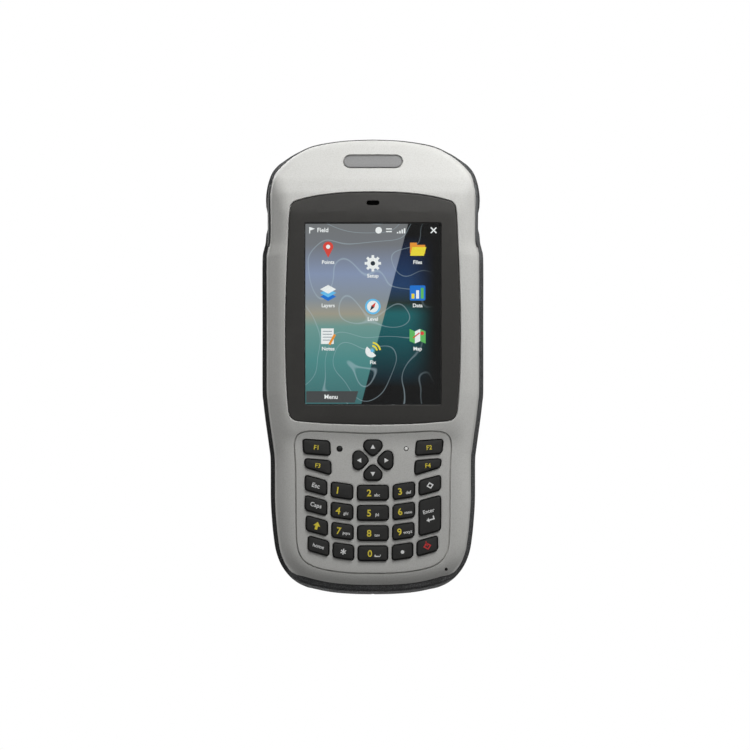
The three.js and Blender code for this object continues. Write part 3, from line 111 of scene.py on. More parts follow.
@dataclass
class BlurredLine:
    """A line through knots whose corners are rounded by a sliding raised-cosine average.

    Args:
        knots: Places along the line, rising.
        values: The line's value at each knot; it runs on straight past the ends.
        blur: Half width of the average.
    """

    knots: Sequence[float]
    values: Sequence[float]
    blur: float
    step: float = 0.1

    def __post_init__(self) -> None:
        """Works out the table of values and slopes."""
        knots, values = np.array(self.knots, float), np.array(self.values, float)
        run = 60.0
        first = (values[1] - values[0]) / (knots[1] - knots[0])
        last = (values[-1] - values[-2]) / (knots[-1] - knots[-2])
        knots = np.concatenate([[knots[0] - run], knots, [knots[-1] + run]])
        values = np.concatenate([[values[0] - first * run], values, [values[-1] + last * run]])
        self.places = np.arange(knots[0], knots[-1], self.step)
        kernel = 1 + np.cos(np.linspace(-np.pi, np.pi, 2 * int(self.blur / self.step) + 1))
        raw = np.interp(self.places, knots, values)
        pad = len(kernel) // 2
        padded = np.pad(raw, pad, mode="reflect", reflect_type="odd")
        self.table = np.convolve(padded, kernel / kernel.sum(), mode="valid")
        self.slopes = np.gradient(self.table, self.step)

    def at(self, place: Array) -> Array:
        """The line's value at each place."""
        return np.interp(place, self.places, self.table)

    def slope(self, place: Array) -> Array:
        """The line's slope at each place."""
        return np.interp(place, self.places, self.slopes)


def scaled(shares: Shares, unit_a: float, unit_b: float) -> Array:
    """Shares as points: the first column times one unit, the second times the other."""
    return np.array(shares, float) * [unit_a, unit_b]


def signed_area(points: Array) -> float:
    """Area of a closed outline, positive when it runs anticlockwise."""
    x, y = points[:, 0], points[:, 1]
    return float(np.sum(x * np.roll(y, -1) - np.roll(x, -1) * y) / 2)


def anticlockwise(points: Array) -> Array:
    """The outline, turned round if it runs clockwise."""
    return points if signed_area(points) > 0 else points[::-1]


def mirrored(points: Array) -> Array:
    """The points on the other side, in the opposite order."""
    return (points * [-1, 1])[::-1]


def doubled(half: Array) -> Array:
    """A half outline, closed by the same half on the other side."""
    return np.concatenate([half, mirrored(half)[1:-1]])


def edge_normals(points: Array, closed: bool = True) -> Array:
    """Steps that carry each point outwards by one unit, square to the two edges beside it.

    Formula: the sum of both edges' right normals, over one plus their product.
    """
    after = np.roll(points, -1, axis=0) - points
    if not closed:
        after[-1] = after[-2]
    after = after / np.linalg.norm(after, axis=1, keepdims=True)
    before = np.roll(after, 1, axis=0)
    if not closed:
        before[0] = after[0]
    right_after = np.stack([after[:, 1], -after[:, 0]], axis=1)
    right_before = np.stack([before[:, 1], -before[:, 0]], axis=1)
    spread = 1 + np.sum(right_after * right_before, axis=1, keepdims=True)
    return (right_after + right_before) / np.clip(spread, 0.35, None)


def grown(points: Array, distance: float) -> Array:
    """A closed anticlockwise outline moved outwards by a distance."""
    return points + edge_normals(points) * distance


def shifted(points: Array, distance: float) -> Array:
    """An open line moved to its right by a distance."""
    return points + edge_normals(points, closed=False) * distance


def rounded(points: Array, radius: float, steps: int = 8, closed: bool = True) -> Array:
    """The outline or line with each corner replaced by a quadratic curve.

    Formula: (1-s)^2 a + 2 s (1-s) corner + s^2 b, with a and b on the edges beside the corner, a radius
    away from it and never past the middle of the edge.
    """
    before, after = np.roll(points, 1, axis=0), np.roll(points, -1, axis=0)

    def reach(to: Array) -> Array:
        """The place on each edge where its corner's curve starts."""
        run = to - points
        size = np.linalg.norm(run, axis=1, keepdims=True)
        return points + run * np.minimum(radius / np.maximum(size, 1e-9), 0.5)

    s = np.linspace(0, 1, steps + 1)[None, :, None]
    start, corner, end = reach(before)[:, None], points[:, None], reach(after)[:, None]
    curve = (1 - s) ** 2 * start + 2 * s * (1 - s) * corner + s**2 * end
    if closed:
        return without_repeats(curve.reshape(-1, 2))
    inner = curve[1:-1].reshape(-1, 2)
    return without_repeats(np.concatenate([points[:1], inner, points[-1:]]), closed=False)


def soft(corners: Shares, radius: float, steps: int = 8) -> Array:
    """Corners as an anticlockwise outline with each of them rounded."""
    return rounded(anticlockwise(np.array(corners, float)), radius, steps)


def without_repeats(points: Array, closed: bool = True) -> Array:
    """The points without those that lie on the next one."""
    gap = np.linalg.norm(np.roll(points, -1, axis=0) - points, axis=1)
    keep = gap > MERGE_DISTANCE
    if not closed:
        keep[-1] = True
    return points[keep]


def resampled(points: Array, count: int) -> Array:
    """A closed outline as a count of points, evenly along its length from the first one."""
    loop = np.concatenate([points, points[:1]])
    run = np.concatenate([[0], np.cumsum(np.linalg.norm(np.diff(loop, axis=0), axis=1))])
    at = np.linspace(0, run[-1], count, endpoint=False)
    return np.stack([np.interp(at, run, loop[:, 0]), np.interp(at, run, loop[:, 1])], axis=1)


def rectangle(width: float, height: float, x: float = 0, y: float = 0) -> Array:
    """Corners of a rectangle about a middle point, anticlockwise."""
    return np.array([[-1, -1], [1, -1], [1, 1], [-1, 1]]) * [width / 2, height / 2] + [x, y]


def round_rectangle(width: float, height: float, x: float, y: float, corner: float, steps: int = 6) -> Array:
    """Outline of a rectangle with rounded corners."""
    return rounded(rectangle(width, height, x, y), corner, steps)


def pill(width: float, height: float, x: float, y: float, steps: int = 16) -> Array:
    """Outline with round ends: two half circles joined by straight edges."""
    angle = np.linspace(-np.pi / 2, np.pi / 2, steps)
    half = np.stack([(width - height) / 2 + height / 2 * np.cos(angle), height / 2 * np.sin(angle)], axis=1)
    return np.concatenate([half, -half]) + [x, y]


def circle(radius: float, x: float, y: float, sides: int = 40) -> Array:
    """Points evenly round a circle, anticlockwise."""
    angle = np.arange(sides) * 2 * np.pi / sides
    return np.stack([x + radius * np.cos(angle), y + radius * np.sin(angle)], axis=1)


def spline(points: Array, count: int) -> Array:
    """Uniform Catmull-Rom curve through the points: each span is the cubic whose end slopes are half the
    run between the points on either side."""
    at = np.linspace(0, len(points) - 1, count)
    i = np.minimum(at.astype(int), len(points) - 2)
    w = (at - i)[:, None]
    p1, p2 = points[i], points[i + 1]
    p0, p3 = points[np.maximum(i - 1, 0)], points[np.minimum(i + 2, len(points) - 1)]
    v0, v1 = (p2 - p0) / 2, (p3 - p1) / 2
    return (2 * p1 - 2 * p2 + v0 + v1) * w**3 + (-3 * p1 + 3 * p2 - 2 * v0 - v1) * w**2 + v0 * w + p1


# Closed shapes and how they are joined and cut


def linked(name: str, data: bpy.types.ID) -> Object:
    """A new object of this data, in the scene."""
    item = bpy.data.objects.new(name, data)
    bpy.context.scene.collection.objects.link(item)
    return item


class Operation(Enum):
    """How two solids are combined."""

    JOIN = "UNION"
    CUT = "DIFFERENCE"
    OVERLAP = "INTERSECT"


@dataclass(eq=False)
class Solid:
    """A closed mesh in the device's frame, in millimetres."""

    mesh: Mesh

    @classmethod
    def of(cls, points: Array, faces: Sequence[Sequence[int]]) -> Solid:
        """A solid from points and faces, turned so that its faces look out."""
        mesh = bpy.data.meshes.new("solid")
        mesh.from_pydata(np.asarray(points, float).tolist(), [], [list(map(int, f)) for f in faces])
        mesh.validate()
        solid = cls(mesh)
        if solid.volume() < 0:
            mesh.flip_normals()
        return solid

    def points(self) -> Array:
        """All vertices as an array."""
        co = np.empty(len(self.mesh.vertices) * 3, np.float32)
        self.mesh.vertices.foreach_get("co", co)
        return co.reshape(-1, 3).astype(float)

    def volume(self) -> float:
        """Signed volume: a sixth of the sum of each triangle's triple product."""
        self.mesh.calc_loop_triangles()
        corner = np.empty(len(self.mesh.loop_triangles) * 3, np.int32)
        self.mesh.loop_triangles.foreach_get("vertices", corner)
        a, b, c = (self.points()[corner.reshape(-1, 3)[:, k]] for k in range(3))
        return float(np.sum(a * np.cross(b, c)) / 6)

    def moved_to(self, points: Array) -> Solid:
        """The same solid with its vertices at other places."""
        self.mesh.vertices.foreach_set("co", points.astype(np.float32).ravel())
        self.mesh.update()
        return self

    def combined(self, other: Solid, operation: Operation) -> Solid:
        """This solid joined to, cut by or overlapped with another."""
        objects = [linked("solid", solid.mesh) for solid in (self, other)]
        modifier = objects[0].modifiers.new("combine", "BOOLEAN")
        modifier.solver = "MANIFOLD"
        modifier.operation = operation.value
        modifier.object = objects[1]
        bpy.context.view_layer.update()
        graph = bpy.context.evaluated_depsgraph_get()
        mesh = bpy.data.meshes.new_from_object(objects[0].evaluated_get(graph))
        for item in objects:
            bpy.data.objects.remove(item)
        if not mesh.polygons:
            log.warning("%s left nothing", operation.name)
        return Solid(mesh)

    def without(self, cutters: Sequence[Solid]) -> Solid:
        """This solid, cut by each of the others in turn."""
        solid = self
        for cutter in cutters:
            solid = solid - cutter
        return solid

    def __add__(self, other: Solid) -> Solid:
        """Joined."""
        return self.combined(other, Operation.JOIN)

    def __sub__(self, other: Solid) -> Solid:
        """Cut."""
        return self.combined(other, Operation.CUT)

    def __and__(self, other: Solid) -> Solid:
        """Overlapped."""
        return self.combined(other, Operation.OVERLAP)


def group(solids: Sequence[Solid]) -> Solid:
    """Solids that stand clear of each other, as one."""
    points, faces, base = [], [], 0
    for solid in solids:
        own = solid.points()
        points.append(own)
        faces += [[base + v for v in polygon.vertices] for polygon in solid.mesh.polygons]
        base += len(own)
    return Solid.of(np.concatenate(points), faces)


def grid_solid(grid: Array) -> Solid:
    """A closed skin over a grid of points that runs round in its second direction and closes onto itself
    at both ends of its first. Points that fall together are made one and empty triangles dropped."""
    rows, columns = grid.shape[:2]
    index = np.arange(rows * columns).reshape(rows, columns)
    a, b = index[:-1], index[1:]
    a2, b2 = np.roll(a, -1, axis=1), np.roll(b, -1, axis=1)
    tris = np.concatenate([np.stack([a, b, a2], -1).reshape(-1, 3), np.stack([a2, b, b2], -1).reshape(-1, 3)])
    points = grid.reshape(-1, 3)
    places = np.round(points / MERGE_DISTANCE).astype(int)
    _, first, merged = np.unique(places, axis=0, return_index=True, return_inverse=True)
    tris = merged.reshape(-1)[tris]
    full = (tris[:, 0] != tris[:, 1]) & (tris[:, 1] != tris[:, 2]) & (tris[:, 0] != tris[:, 2])
    return Solid.of(points[first], tris[full])


def ring_solid(rings: Sequence[Array], loop: bool = False) -> Solid:
    """A closed skin over rings of equally many points, with flat ends, or closed into a loop of rings."""
    count, size = len(rings), len(rings[0])
    index = np.arange(count * size).reshape(count, size)
    near = index if loop else index[:-1]
    far = np.roll(index, -1, axis=0) if loop else index[1:]
    corners = [near, far, np.roll(far, -1, axis=1), np.roll(near, -1, axis=1)]
    faces = np.stack(corners, -1).reshape(-1, 4).tolist()
    if not loop:
        faces += [index[0].tolist(), index[-1][::-1].tolist()]
    return Solid.of(np.concatenate(rings), faces)


class Facing(Enum):
    """A side of the device: its two plan axes, the axis into it, the sign of that way and where it starts."""

    FRONT = (0, 2, 1, 1.0, -8.0)
    REAR = (0, 2, 1, -1.0, 50.0)
    RIGHT = (1, 2, 0, -1.0, 54.0)
    LEFT = (1, 2, 0, 1.0, -54.0)
    BOTTOM = (0, 1, 2, 1.0, -106.0)

    @property
    def way(self) -> float:
        """The sign of the way in."""
        return self.value[3]

    def place(self, plan: Array, level: Array | float) -> Array:
        """Points at a plan position and a coordinate along the axis into this side."""
        a, b, axis, _, _ = self.value
        points = np.zeros((*plan.shape[:-1], 3))
        points[..., a], points[..., b], points[..., axis] = plan[..., 0], plan[..., 1], level
        return points


FRONT, REAR, RIGHT, LEFT, BOTTOM = Facing


def lettering(text: str, size: float, extrude: float, bold: float) -> Solid:
    """A word as thin closed letters in the plan, centred on nought, facing up its third axis."""
    curve = bpy.data.curves.new("word", "FONT")
    curve.body, curve.size, curve.extrude, curve.resolution_u, curve.offset = text, size, extrude, 3, bold
    curve.align_x, curve.align_y = "CENTER", "CENTER"
    item = linked("word", curve)
    bpy.context.view_layer.update()
    mesh = bpy.data.meshes.new_from_object(item.evaluated_get(bpy.context.evaluated_depsgraph_get()))
    bpy.data.objects.remove(item)
    return Solid(mesh)


def turned(tilt: float) -> Array:
    """What plan points are multiplied by to turn them anticlockwise by an angle."""
    return np.array([[math.cos(tilt), math.sin(tilt)], [-math.sin(tilt), math.cos(tilt)]])


def bar(facing: Facing, outline: Array, start: float, end: float) -> Solid:
    """A straight bar of one outline between two coordinates along a side's axis."""
    return ring_solid([facing.place(outline, start), facing.place(outline, end)])


def stack(facing: Facing, outline: Array, levels: Levels, loop: bool = False) -> Solid:
    """A solid through rings of an outline, each given by its growth and its coordinate along the axis."""
    return ring_solid([facing.place(grown(outline, growth), level) for growth, level in levels], loop)


def button(outline: Array, edge: Levels, crown: float, rings: int) -> Solid:
    """A plate on the front with rings of growth and level up its edge and a crowned top.

    Formula: the last ring is drawn in towards its middle by even shares, each at its level less the crown
    times one less the share squared.
    """
    grid = [FRONT.place(grown(outline, growth), level) for growth, level in edge]
    growth, top = edge[-1]
    rim = grown(outline, growth)
    middle = rim.mean(axis=0)
    for share in np.linspace(1, 0, rings + 1)[1:]:
        grid.append(FRONT.place(middle + (rim - middle) * share, top - crown * (1 - share**2)))
    foot = grid[0].mean(axis=0) + 0 * grid[0]
    return grid_solid(np.array([foot, *grid]))


# The case's form


@dataclass
class CaseForm:
    """The outer form of the case as a field: negative inside, zero on the surface, about the distance off it.

    The body is the rounded overlap of a skin of layers of the outline with the front face's profile and the
    back plane; the hump is that of its own layers, its underside and its arch.
    """

    width: float = 92.0
    length: float = 190.5
    depth: float = 42.0
    body_depth: float = 32.2
    band_proud: float = 1.5
    chamfer: float = 7.9
    edge_round: float = 2.3
    back_round: float = 1.6
    facet_blur: float = 0.5
    face_blur: float = 1.8
    under_blur: float = 0.6
    arch_blur: float = 2.5
    hump_chamfer: float = 5.0
    corner_round: float = 0.6
    under_round: float = 1.2
    foot_round: float = 1.0
    clear_least: float = 0.08
    clear_more: float = 0.22
    clear_fall: Pair = (82.0, 6.0)
    clear_fade: Pair = (33.5, 3.0)
    hump_front_share: float = 0.56
    core_radius: float = 14.0
    core_levels: Pair = (15.0, 19.0)
    core_ends: Pair = (-50.0, 52.0)
    hump_core: Triple = (29.0, 29.0, 78.0)
    hump_girth: float = 84.0
    probe_reach: float = 52.0
    probe_step: float = 0.5
    probe_halvings: int = 16
    table_step: float = 0.8
    table_across: float = 58.0
    table_up: float = 110.0
    outline_shares: Shares = (
        (0, 1), (0.29, 0.993), (0.56, 0.97), (0.72, 0.934), (0.824, 0.897), (0.894, 0.862), (0.926, 0.836),
        (0.953, 0.795), (0.968, 0.75), (0.97, 0.7), (0.97, 0.555), (0.987, 0.507), (1, 0.455), (1, 0.18),
        (1, -0.107), (0.993, -0.16), (0.975, -0.235), (0.955, -0.304), (0.935, -0.373), (0.924, -0.427),
        (0.922, -0.597), (0.912, -0.683), (0.897, -0.757), (0.876, -0.821), (0.836, -0.875),
        (0.778, -0.917), (0.706, -0.949), (0.596, -0.976), (0.404, -0.997), (0.2, -1.006), (0, -1.008),
    )
    case_layers: Shares = (
        (-0.062, 1.184, 0.38, 1.42), (0.168, 0.177, 0.38, 0.3), (0.29, 0.11, 0.28, 0.09),
        (0.537, 0, 0.08, 0), (0.683, 0, 0, 0.14), (0.87, 0.278, 0.12, 0.658), (1.056, 1.304, 0.76, 1.53),
    )
    hump_layers: Shares = (
        (0.537, 0, 0.08, 0), (0.683, 0, 0, 0), (0.87, 0.278, 0, 0), (1.062, 0.456, 0.05, 0),
        (1.2, 0.7, 0.58, 0), (1.38, 1.15, 1.9, 0),
    )
    face_shares: Shares = (
        (0.0575, -1.0), (0.0575, -0.357), (0.0466, -0.325), (0.0186, -0.288), (0, -0.24), (0, 0.667),
        (0.05, 0.754), (0.137, 0.813), (0.516, 0.979), (0.81, 1.107),
    )
    underside_shares: Shares = ((0, 0.587), (0.102, 0.656), (0.306, 0.701), (1, 0.701))
    foot_shares: Shares = ((0.56, 0.67), (0.87, 0.67))
    arch_shares: Shares = (
        (1.034, 0.43), (0.989, 0.586), (0.903, 0.717), (0.787, 0.81), (0.697, 0.879), (0.562, 0.943),
        (0.404, 0.976), (0.202, 0.995), (0, 1),
    )
    cache: dict[Pair, Solid] = field(default_factory=dict)

    def __post_init__(self) -> None:
        """Works out the outline, its distance table and the blurred profiles."""
        self.half_width = self.width / 2 - self.band_proud
        self.half_length = self.length / 2 - self.band_proud
        half = spline(scaled(self.outline_shares, self.half_width, self.half_length), 900)
        self.half_outline = half
        self._plan_tables(half[::3])
        self.case_lines = self._layer_lines(self.case_layers)
        self.hump_lines = self._layer_lines(self.hump_layers)
        face = scaled(self.face_shares, self.body_depth, self.half_length)
        self.face = BlurredLine(face[:, 1], face[:, 0], self.face_blur)
        rise = self.depth - self.body_depth
        under = scaled(self.underside_shares, rise, self.half_length) + [self.body_depth, 0]
        foot = scaled(self.foot_shares, self.body_depth, self.half_length)
        under = np.concatenate([foot, under])
        self.under = BlurredLine(under[:, 0], under[:, 1], self.under_blur)
        arch = scaled(self.arch_shares, self.half_width, self.depth)[::-1]
        arch = np.concatenate([mirrored(arch[1:]), arch])
        self.arch = BlurredLine(arch[:, 0], arch[:, 1], self.arch_blur)

    def _layer_lines(self, layers: Shares) -> list[BlurredLine]:
        """Insets at the sides, top end and bottom end as blurred lines over the depth."""
        table = np.array(layers)
        depths = table[:, 0] * self.body_depth
        return [BlurredLine(depths, table[:, k] * self.chamfer, self.facet_blur) for k in (1, 2, 3)]

    def _plan_tables(self, half: Array) -> None:
        """Distance from the outline, and how far it faces sideways and up, on a grid of plan places.

        Formula: for each place, the nearest point on each short segment of the outline; the distance to the
        nearest of them, negative inside; and the outline's normal there, blended between the corners.
        """
        step, up = self.table_step, self.table_up
        self.grid_x, self.grid_l = np.arange(0, self.table_across, step), np.arange(-up, up + 0.1, step)
        x, l = np.meshgrid(self.grid_x, self.grid_l, indexing="ij")
        place = np.stack([x.ravel(), l.ravel()], axis=1)[:, None].astype(np.float32)
        line = doubled(half)
        normals = edge_normals(line[::-1])[::-1][: len(half)].astype(np.float32)
        start, run = half[None, :-1].astype(np.float32), np.diff(half, axis=0)[None].astype(np.float32)
        s = np.clip(np.sum((place - start) * run, -1) / np.sum(run * run, -1), 0, 1)
        gap = place - start - s[..., None] * run
        near = np.argmin(np.sum(gap * gap, -1), axis=1)
        rows = np.arange(len(near))
        s, gap = s[rows, near][:, None], gap[rows, near]
        normal = (1 - s) * normals[near] + s * normals[near + 1]
        sign = np.sign(np.sum(gap * normal, -1))
        shape = x.shape
        self.distance = (sign * np.linalg.norm(gap, axis=1)).reshape(shape)
        self.sideways = (normal[:, 0] ** 2 / np.sum(normal**2, -1)).reshape(shape)
        self.upward = normal[:, 1].reshape(shape)

    def _lookup(self, table: Array, x: Array, l: Array) -> Array:
        """A table's value between its grid places, blended along both ways."""
        u = np.clip(x / self.table_step, 0, len(self.grid_x) - 1.001)
        v = np.clip((l + self.table_up) / self.table_step, 0, len(self.grid_l) - 1.001)
        i, j = u.astype(int), v.astype(int)
        a, b = u - i, v - j
        low = table[i, j] * (1 - a) + table[i + 1, j] * a
        high = table[i, j + 1] * (1 - a) + table[i + 1, j + 1] * a
        return low * (1 - b) + high * b

    def _loft(self, lines: list[BlurredLine], x: Array, t: Array, l: Array) -> Array:
        """Distance from the skin of layers: the plan distance plus the inset at that depth, over the length
        of the inset line's slope."""
        side, top, bottom = lines
        share = self._lookup(self.sideways, x, l)
        up = self._lookup(self.upward, x, l) > 0
        inset = share * side.at(t) + (1 - share) * np.where(up, top.at(t), bottom.at(t))
        slope = share * side.slope(t) + (1 - share) * np.where(up, top.slope(t), bottom.slope(t))
        return (self._lookup(self.distance, x, l) + inset) / np.sqrt(1 + slope**2)

    def body_field(self, p: Array) -> Array:
        """The body's field: rounded largest of the layers, the face profile and the back plane."""
        x, t, l = np.abs(p[..., 0]), p[..., 1], p[..., 2]
        face = (self.face.at(l) - t) / np.sqrt(1 + self.face.slope(l) ** 2)
        front = smooth_max(self._loft(self.case_lines, x, t, l), face, self.edge_round)
        return smooth_max(front, t - self.body_depth, self.back_round)

    def hump_field(self, p: Array) -> Array:
        """The hump's field: rounded largest of its layers, its underside, the chamfer between these two, its
        arch and its foot's front. It is a little inside the body's sides, more so below its widest place and
        not at all behind the body."""
        x, t, l = np.abs(p[..., 0]), p[..., 1], p[..., 2]
        arch = (t - self.arch.at(x)) / np.sqrt(1 + self.arch.slope(x) ** 2)
        under = (self.under.at(t) - l) / np.sqrt(1 + self.under.slope(t) ** 2)
        skin = self._loft(self.hump_lines, x, t, l)
        corner = (skin + under + self.hump_chamfer) / math.sqrt(2)
        outer = smooth_max(smooth_max(skin, arch, self.edge_round), corner, self.corner_round)
        (high, fall), (rear, fade) = self.clear_fall, self.clear_fade
        clear = self.clear_least + self.clear_more * np.clip((high - l) / fall, 0, 1)
        clear = clear * np.clip((rear - t) / fade, 0, 1)
        foot = self.hump_front_share * self.body_depth - t
        return smooth_max(smooth_max(outer, under, self.under_round), foot, self.foot_round) + clear

    def case_field(self, p: Array) -> Array:
        """Both together."""
        return np.minimum(self.body_field(p), self.hump_field(p))

    def plan_outline(self, step: float) -> Array:
        """The closed outline, anticlockwise from the top, mirror-even, with points about a step apart."""
        run = np.concatenate([[0], np.cumsum(np.linalg.norm(np.diff(self.half_outline, axis=0), axis=1))])
        at = np.linspace(0, run[-1], int(run[-1] / step) + 1)
        right = np.stack([np.interp(at, run, self.half_outline[:, k]) for k in (0, 1)], axis=1)
        right[[0, -1], 0] = 0
        return doubled(right)

    def body_rays(self, step: float) -> tuple[Array, Array]:
        """Rays out of a flat core, one column for each point of the outline, from the front's middle round
        the side to the back's middle.

        Formula: in the plane through the outline's point and its place on the middle line, straight rays
        leave the front of the core, a quarter fan its front corner, straight rays its side, and so on.
        """
        outline = self.plan_outline(step)
        spine = np.stack([np.zeros(len(outline)), np.clip(outline[:, 1], *self.core_ends)], axis=1)
        run = outline - spine
        reach = np.linalg.norm(run, axis=1)
        way = run / reach[:, None]
        radius, (near, far) = self.core_radius, self.core_levels
        flat = np.linspace(0, 1, int((self.half_width - radius) / step) + 1)
        fan = np.linspace(0, np.pi / 2, int(radius * 1.5 / step) + 1)[1:]
        side = np.linspace(near, far, int((far - near) / step) + 2)[1:]
        share = np.concatenate([flat, np.ones(len(fan) + len(side) + len(fan)), flat[::-1][1:]])
        count, back = len(flat) + len(fan), len(flat) - 1
        level = np.concatenate([np.full(count, near), side, np.full(count - 1, far)])
        quarter = np.pi / 2
        front_angle, back_angle = np.full(len(flat), -quarter), np.full(back, quarter)
        angle = np.concatenate([front_angle, fan - quarter, np.zeros(len(side)), fan, back_angle])
        out = share[:, None] * (reach - radius)[None]
        depth = np.broadcast_to(level[:, None], out.shape)
        origins = np.stack([out * way[:, 0], depth, spine[:, 1] + out * way[:, 1]], axis=-1)
        cosine, sine = np.cos(angle)[:, None], np.sin(angle)[:, None]
        ways = np.stack([cosine * way[:, 0], np.broadcast_to(sine, out.shape), cosine * way[:, 1]], axis=-1)
        return origins, ways

    def hump_rays(self, step: float) -> tuple[Array, Array]:
        """Rays out of a core line across the hump: a fan at each end and rings of rays between them."""
        (half, depth, height), turns = self.hump_core, int(self.hump_girth / step)
        around = np.arange(turns) * 2 * np.pi / turns
        fan = np.linspace(-np.pi / 2, 0, int(20 / step))
        straight = np.linspace(-half, half, int(2 * half / step))[1:-1]
        tilt = np.concatenate([fan, np.zeros(len(straight)), -fan[::-1]])[:, None]
        across = np.concatenate([np.full(len(fan), -half), straight, np.full(len(fan), half)])
        origins = np.zeros((len(across), turns, 3))
        origins[..., 0], origins[..., 1], origins[..., 2] = across[:, None], depth, height
        ways = np.stack(
            [np.sin(tilt) + 0 * around, np.cos(tilt) * np.sin(around), np.cos(tilt) * np.cos(around)], axis=-1
        )
        return origins, ways

    def solid(self, growth: float = 0.0, step: float = 1.0) -> Solid:
        """The case's closed form, grown by a distance on every side.

        Formula: along each ray, the place where the field equals the growth, found by halving.
        """
        key = (growth, step)
        if key not in self.cache:
            body = grid_solid(cast(self.body_field, *self.body_rays(step), growth))
            hump = grid_solid(cast(self.hump_field, *self.hump_rays(step * 0.6), growth))
            self.cache[key] = body + hump
        return self.cache[key]

    def level(self, facing: Facing, plan: Array, growth: float = 0.0) -> Array:
        """Where the surface, grown by a distance, is first met on the way into a side at each plan place."""
        *_, way, start = facing.value
        steps = np.arange(0, self.probe_reach + self.probe_step, self.probe_step)
        shape = plan.shape[:-1]
        flat = plan.reshape(-1, 2)
        levels = start + way * steps
        points = facing.place(np.repeat(flat[:, None], len(steps), axis=1), levels[None])
        inside = self.case_field(points) < growth
        first = np.where(inside.any(axis=1), inside.argmax(axis=1), len(steps) - 1)
        low, high = steps[np.maximum(first - 1, 0)], steps[first]
        for _ in range(self.probe_halvings):
            middle = (low + high) / 2
            within = self.case_field(facing.place(flat, start + way * middle)) < growth
            low, high = np.where(within, low, middle), np.where(within, middle, high)
        return (start + way * high).reshape(shape)

    def sleeve(self, facing: Facing, outline: Array, levels: Levels, loop: bool = False) -> Solid:
        """A solid through rings of a plan outline, each grown by some distance and sunk below the surface.

        Args:
            facing: The side that the outline is drawn on.
            outline: Closed anticlockwise plan outline.
            levels: Growth of the outline and sink below the case's surface, ring by ring.
            loop: Whether the last ring joins the first, as in a groove.

        Returns:
            The closed solid.
        """
        rings = []
        for growth, sink in levels:
            ring = grown(outline, growth)
            rings.append(facing.place(ring, self.level(facing, ring) + facing.way * sink))
        return ring_solid(rings, loop)

    def groove(self, facing: Facing, outline: Array, width: float, depth: float) -> Solid:
        """A cutter along a closed outline on a side's surface."""
        half = width / 2
        foot = half * 0.5
        return self.sleeve(facing, outline, [(half, -1), (-half, -1), (-foot, depth), (foot, depth)], True)

    def cap(self, facing: Facing, outline: Array, edge: Levels, rings: int) -> Solid:
        """A plate that follows the case's surface over its whole outline.

        Formula: rings of the outline drawn in towards its middle by even shares, each at the surface's own
        level less the last edge level.

        Args:
            facing: The side that the outline is drawn on.
            outline: Closed anticlockwise plan outline.
            edge: Growth and sink of the rings from the plate's foot up to its rim.
            rings: How many rings cross the top, to its middle.

        Returns:
            The closed plate.
        """
        last_growth, last_sink = edge[-1]
        rim = grown(outline, last_growth)
        middle = rim.mean(axis=0)
        share = np.linspace(1, 0, rings + 1)[1:, None, None]
        flank, top = [grown(outline, growth) for growth, _ in edge], middle + (rim - middle) * share
        plans = np.array([*flank, *top])
        sinks = np.array([sink for _, sink in edge] + [last_sink] * rings)
        grid = facing.place(plans, self.level(facing, plans) + facing.way * sinks[:, None])
        foot = grid[:1].mean(axis=1, keepdims=True) + 0 * grid[:1]
        return grid_solid(np.concatenate([foot, grid]))


def cast(surface: Field, origins: Array, ways: Array, growth: float) -> Array:
    """The point on each ray where the field reaches the growth.

    Formula: the span from zero to the rays' reach is halved again and again, keeping the half that holds it.
    """
    low, high = np.zeros(origins.shape[:-1]), np.full(origins.shape[:-1], RAY_REACH)
    for _ in range(RAY_HALVINGS):
        middle = (low + high) / 2
        inside = surface(origins + middle[..., None] * ways) < growth
        low, high = np.where(inside, middle, low), np.where(inside, high, middle)
    return origins + low[..., None] * ways


# Joint line


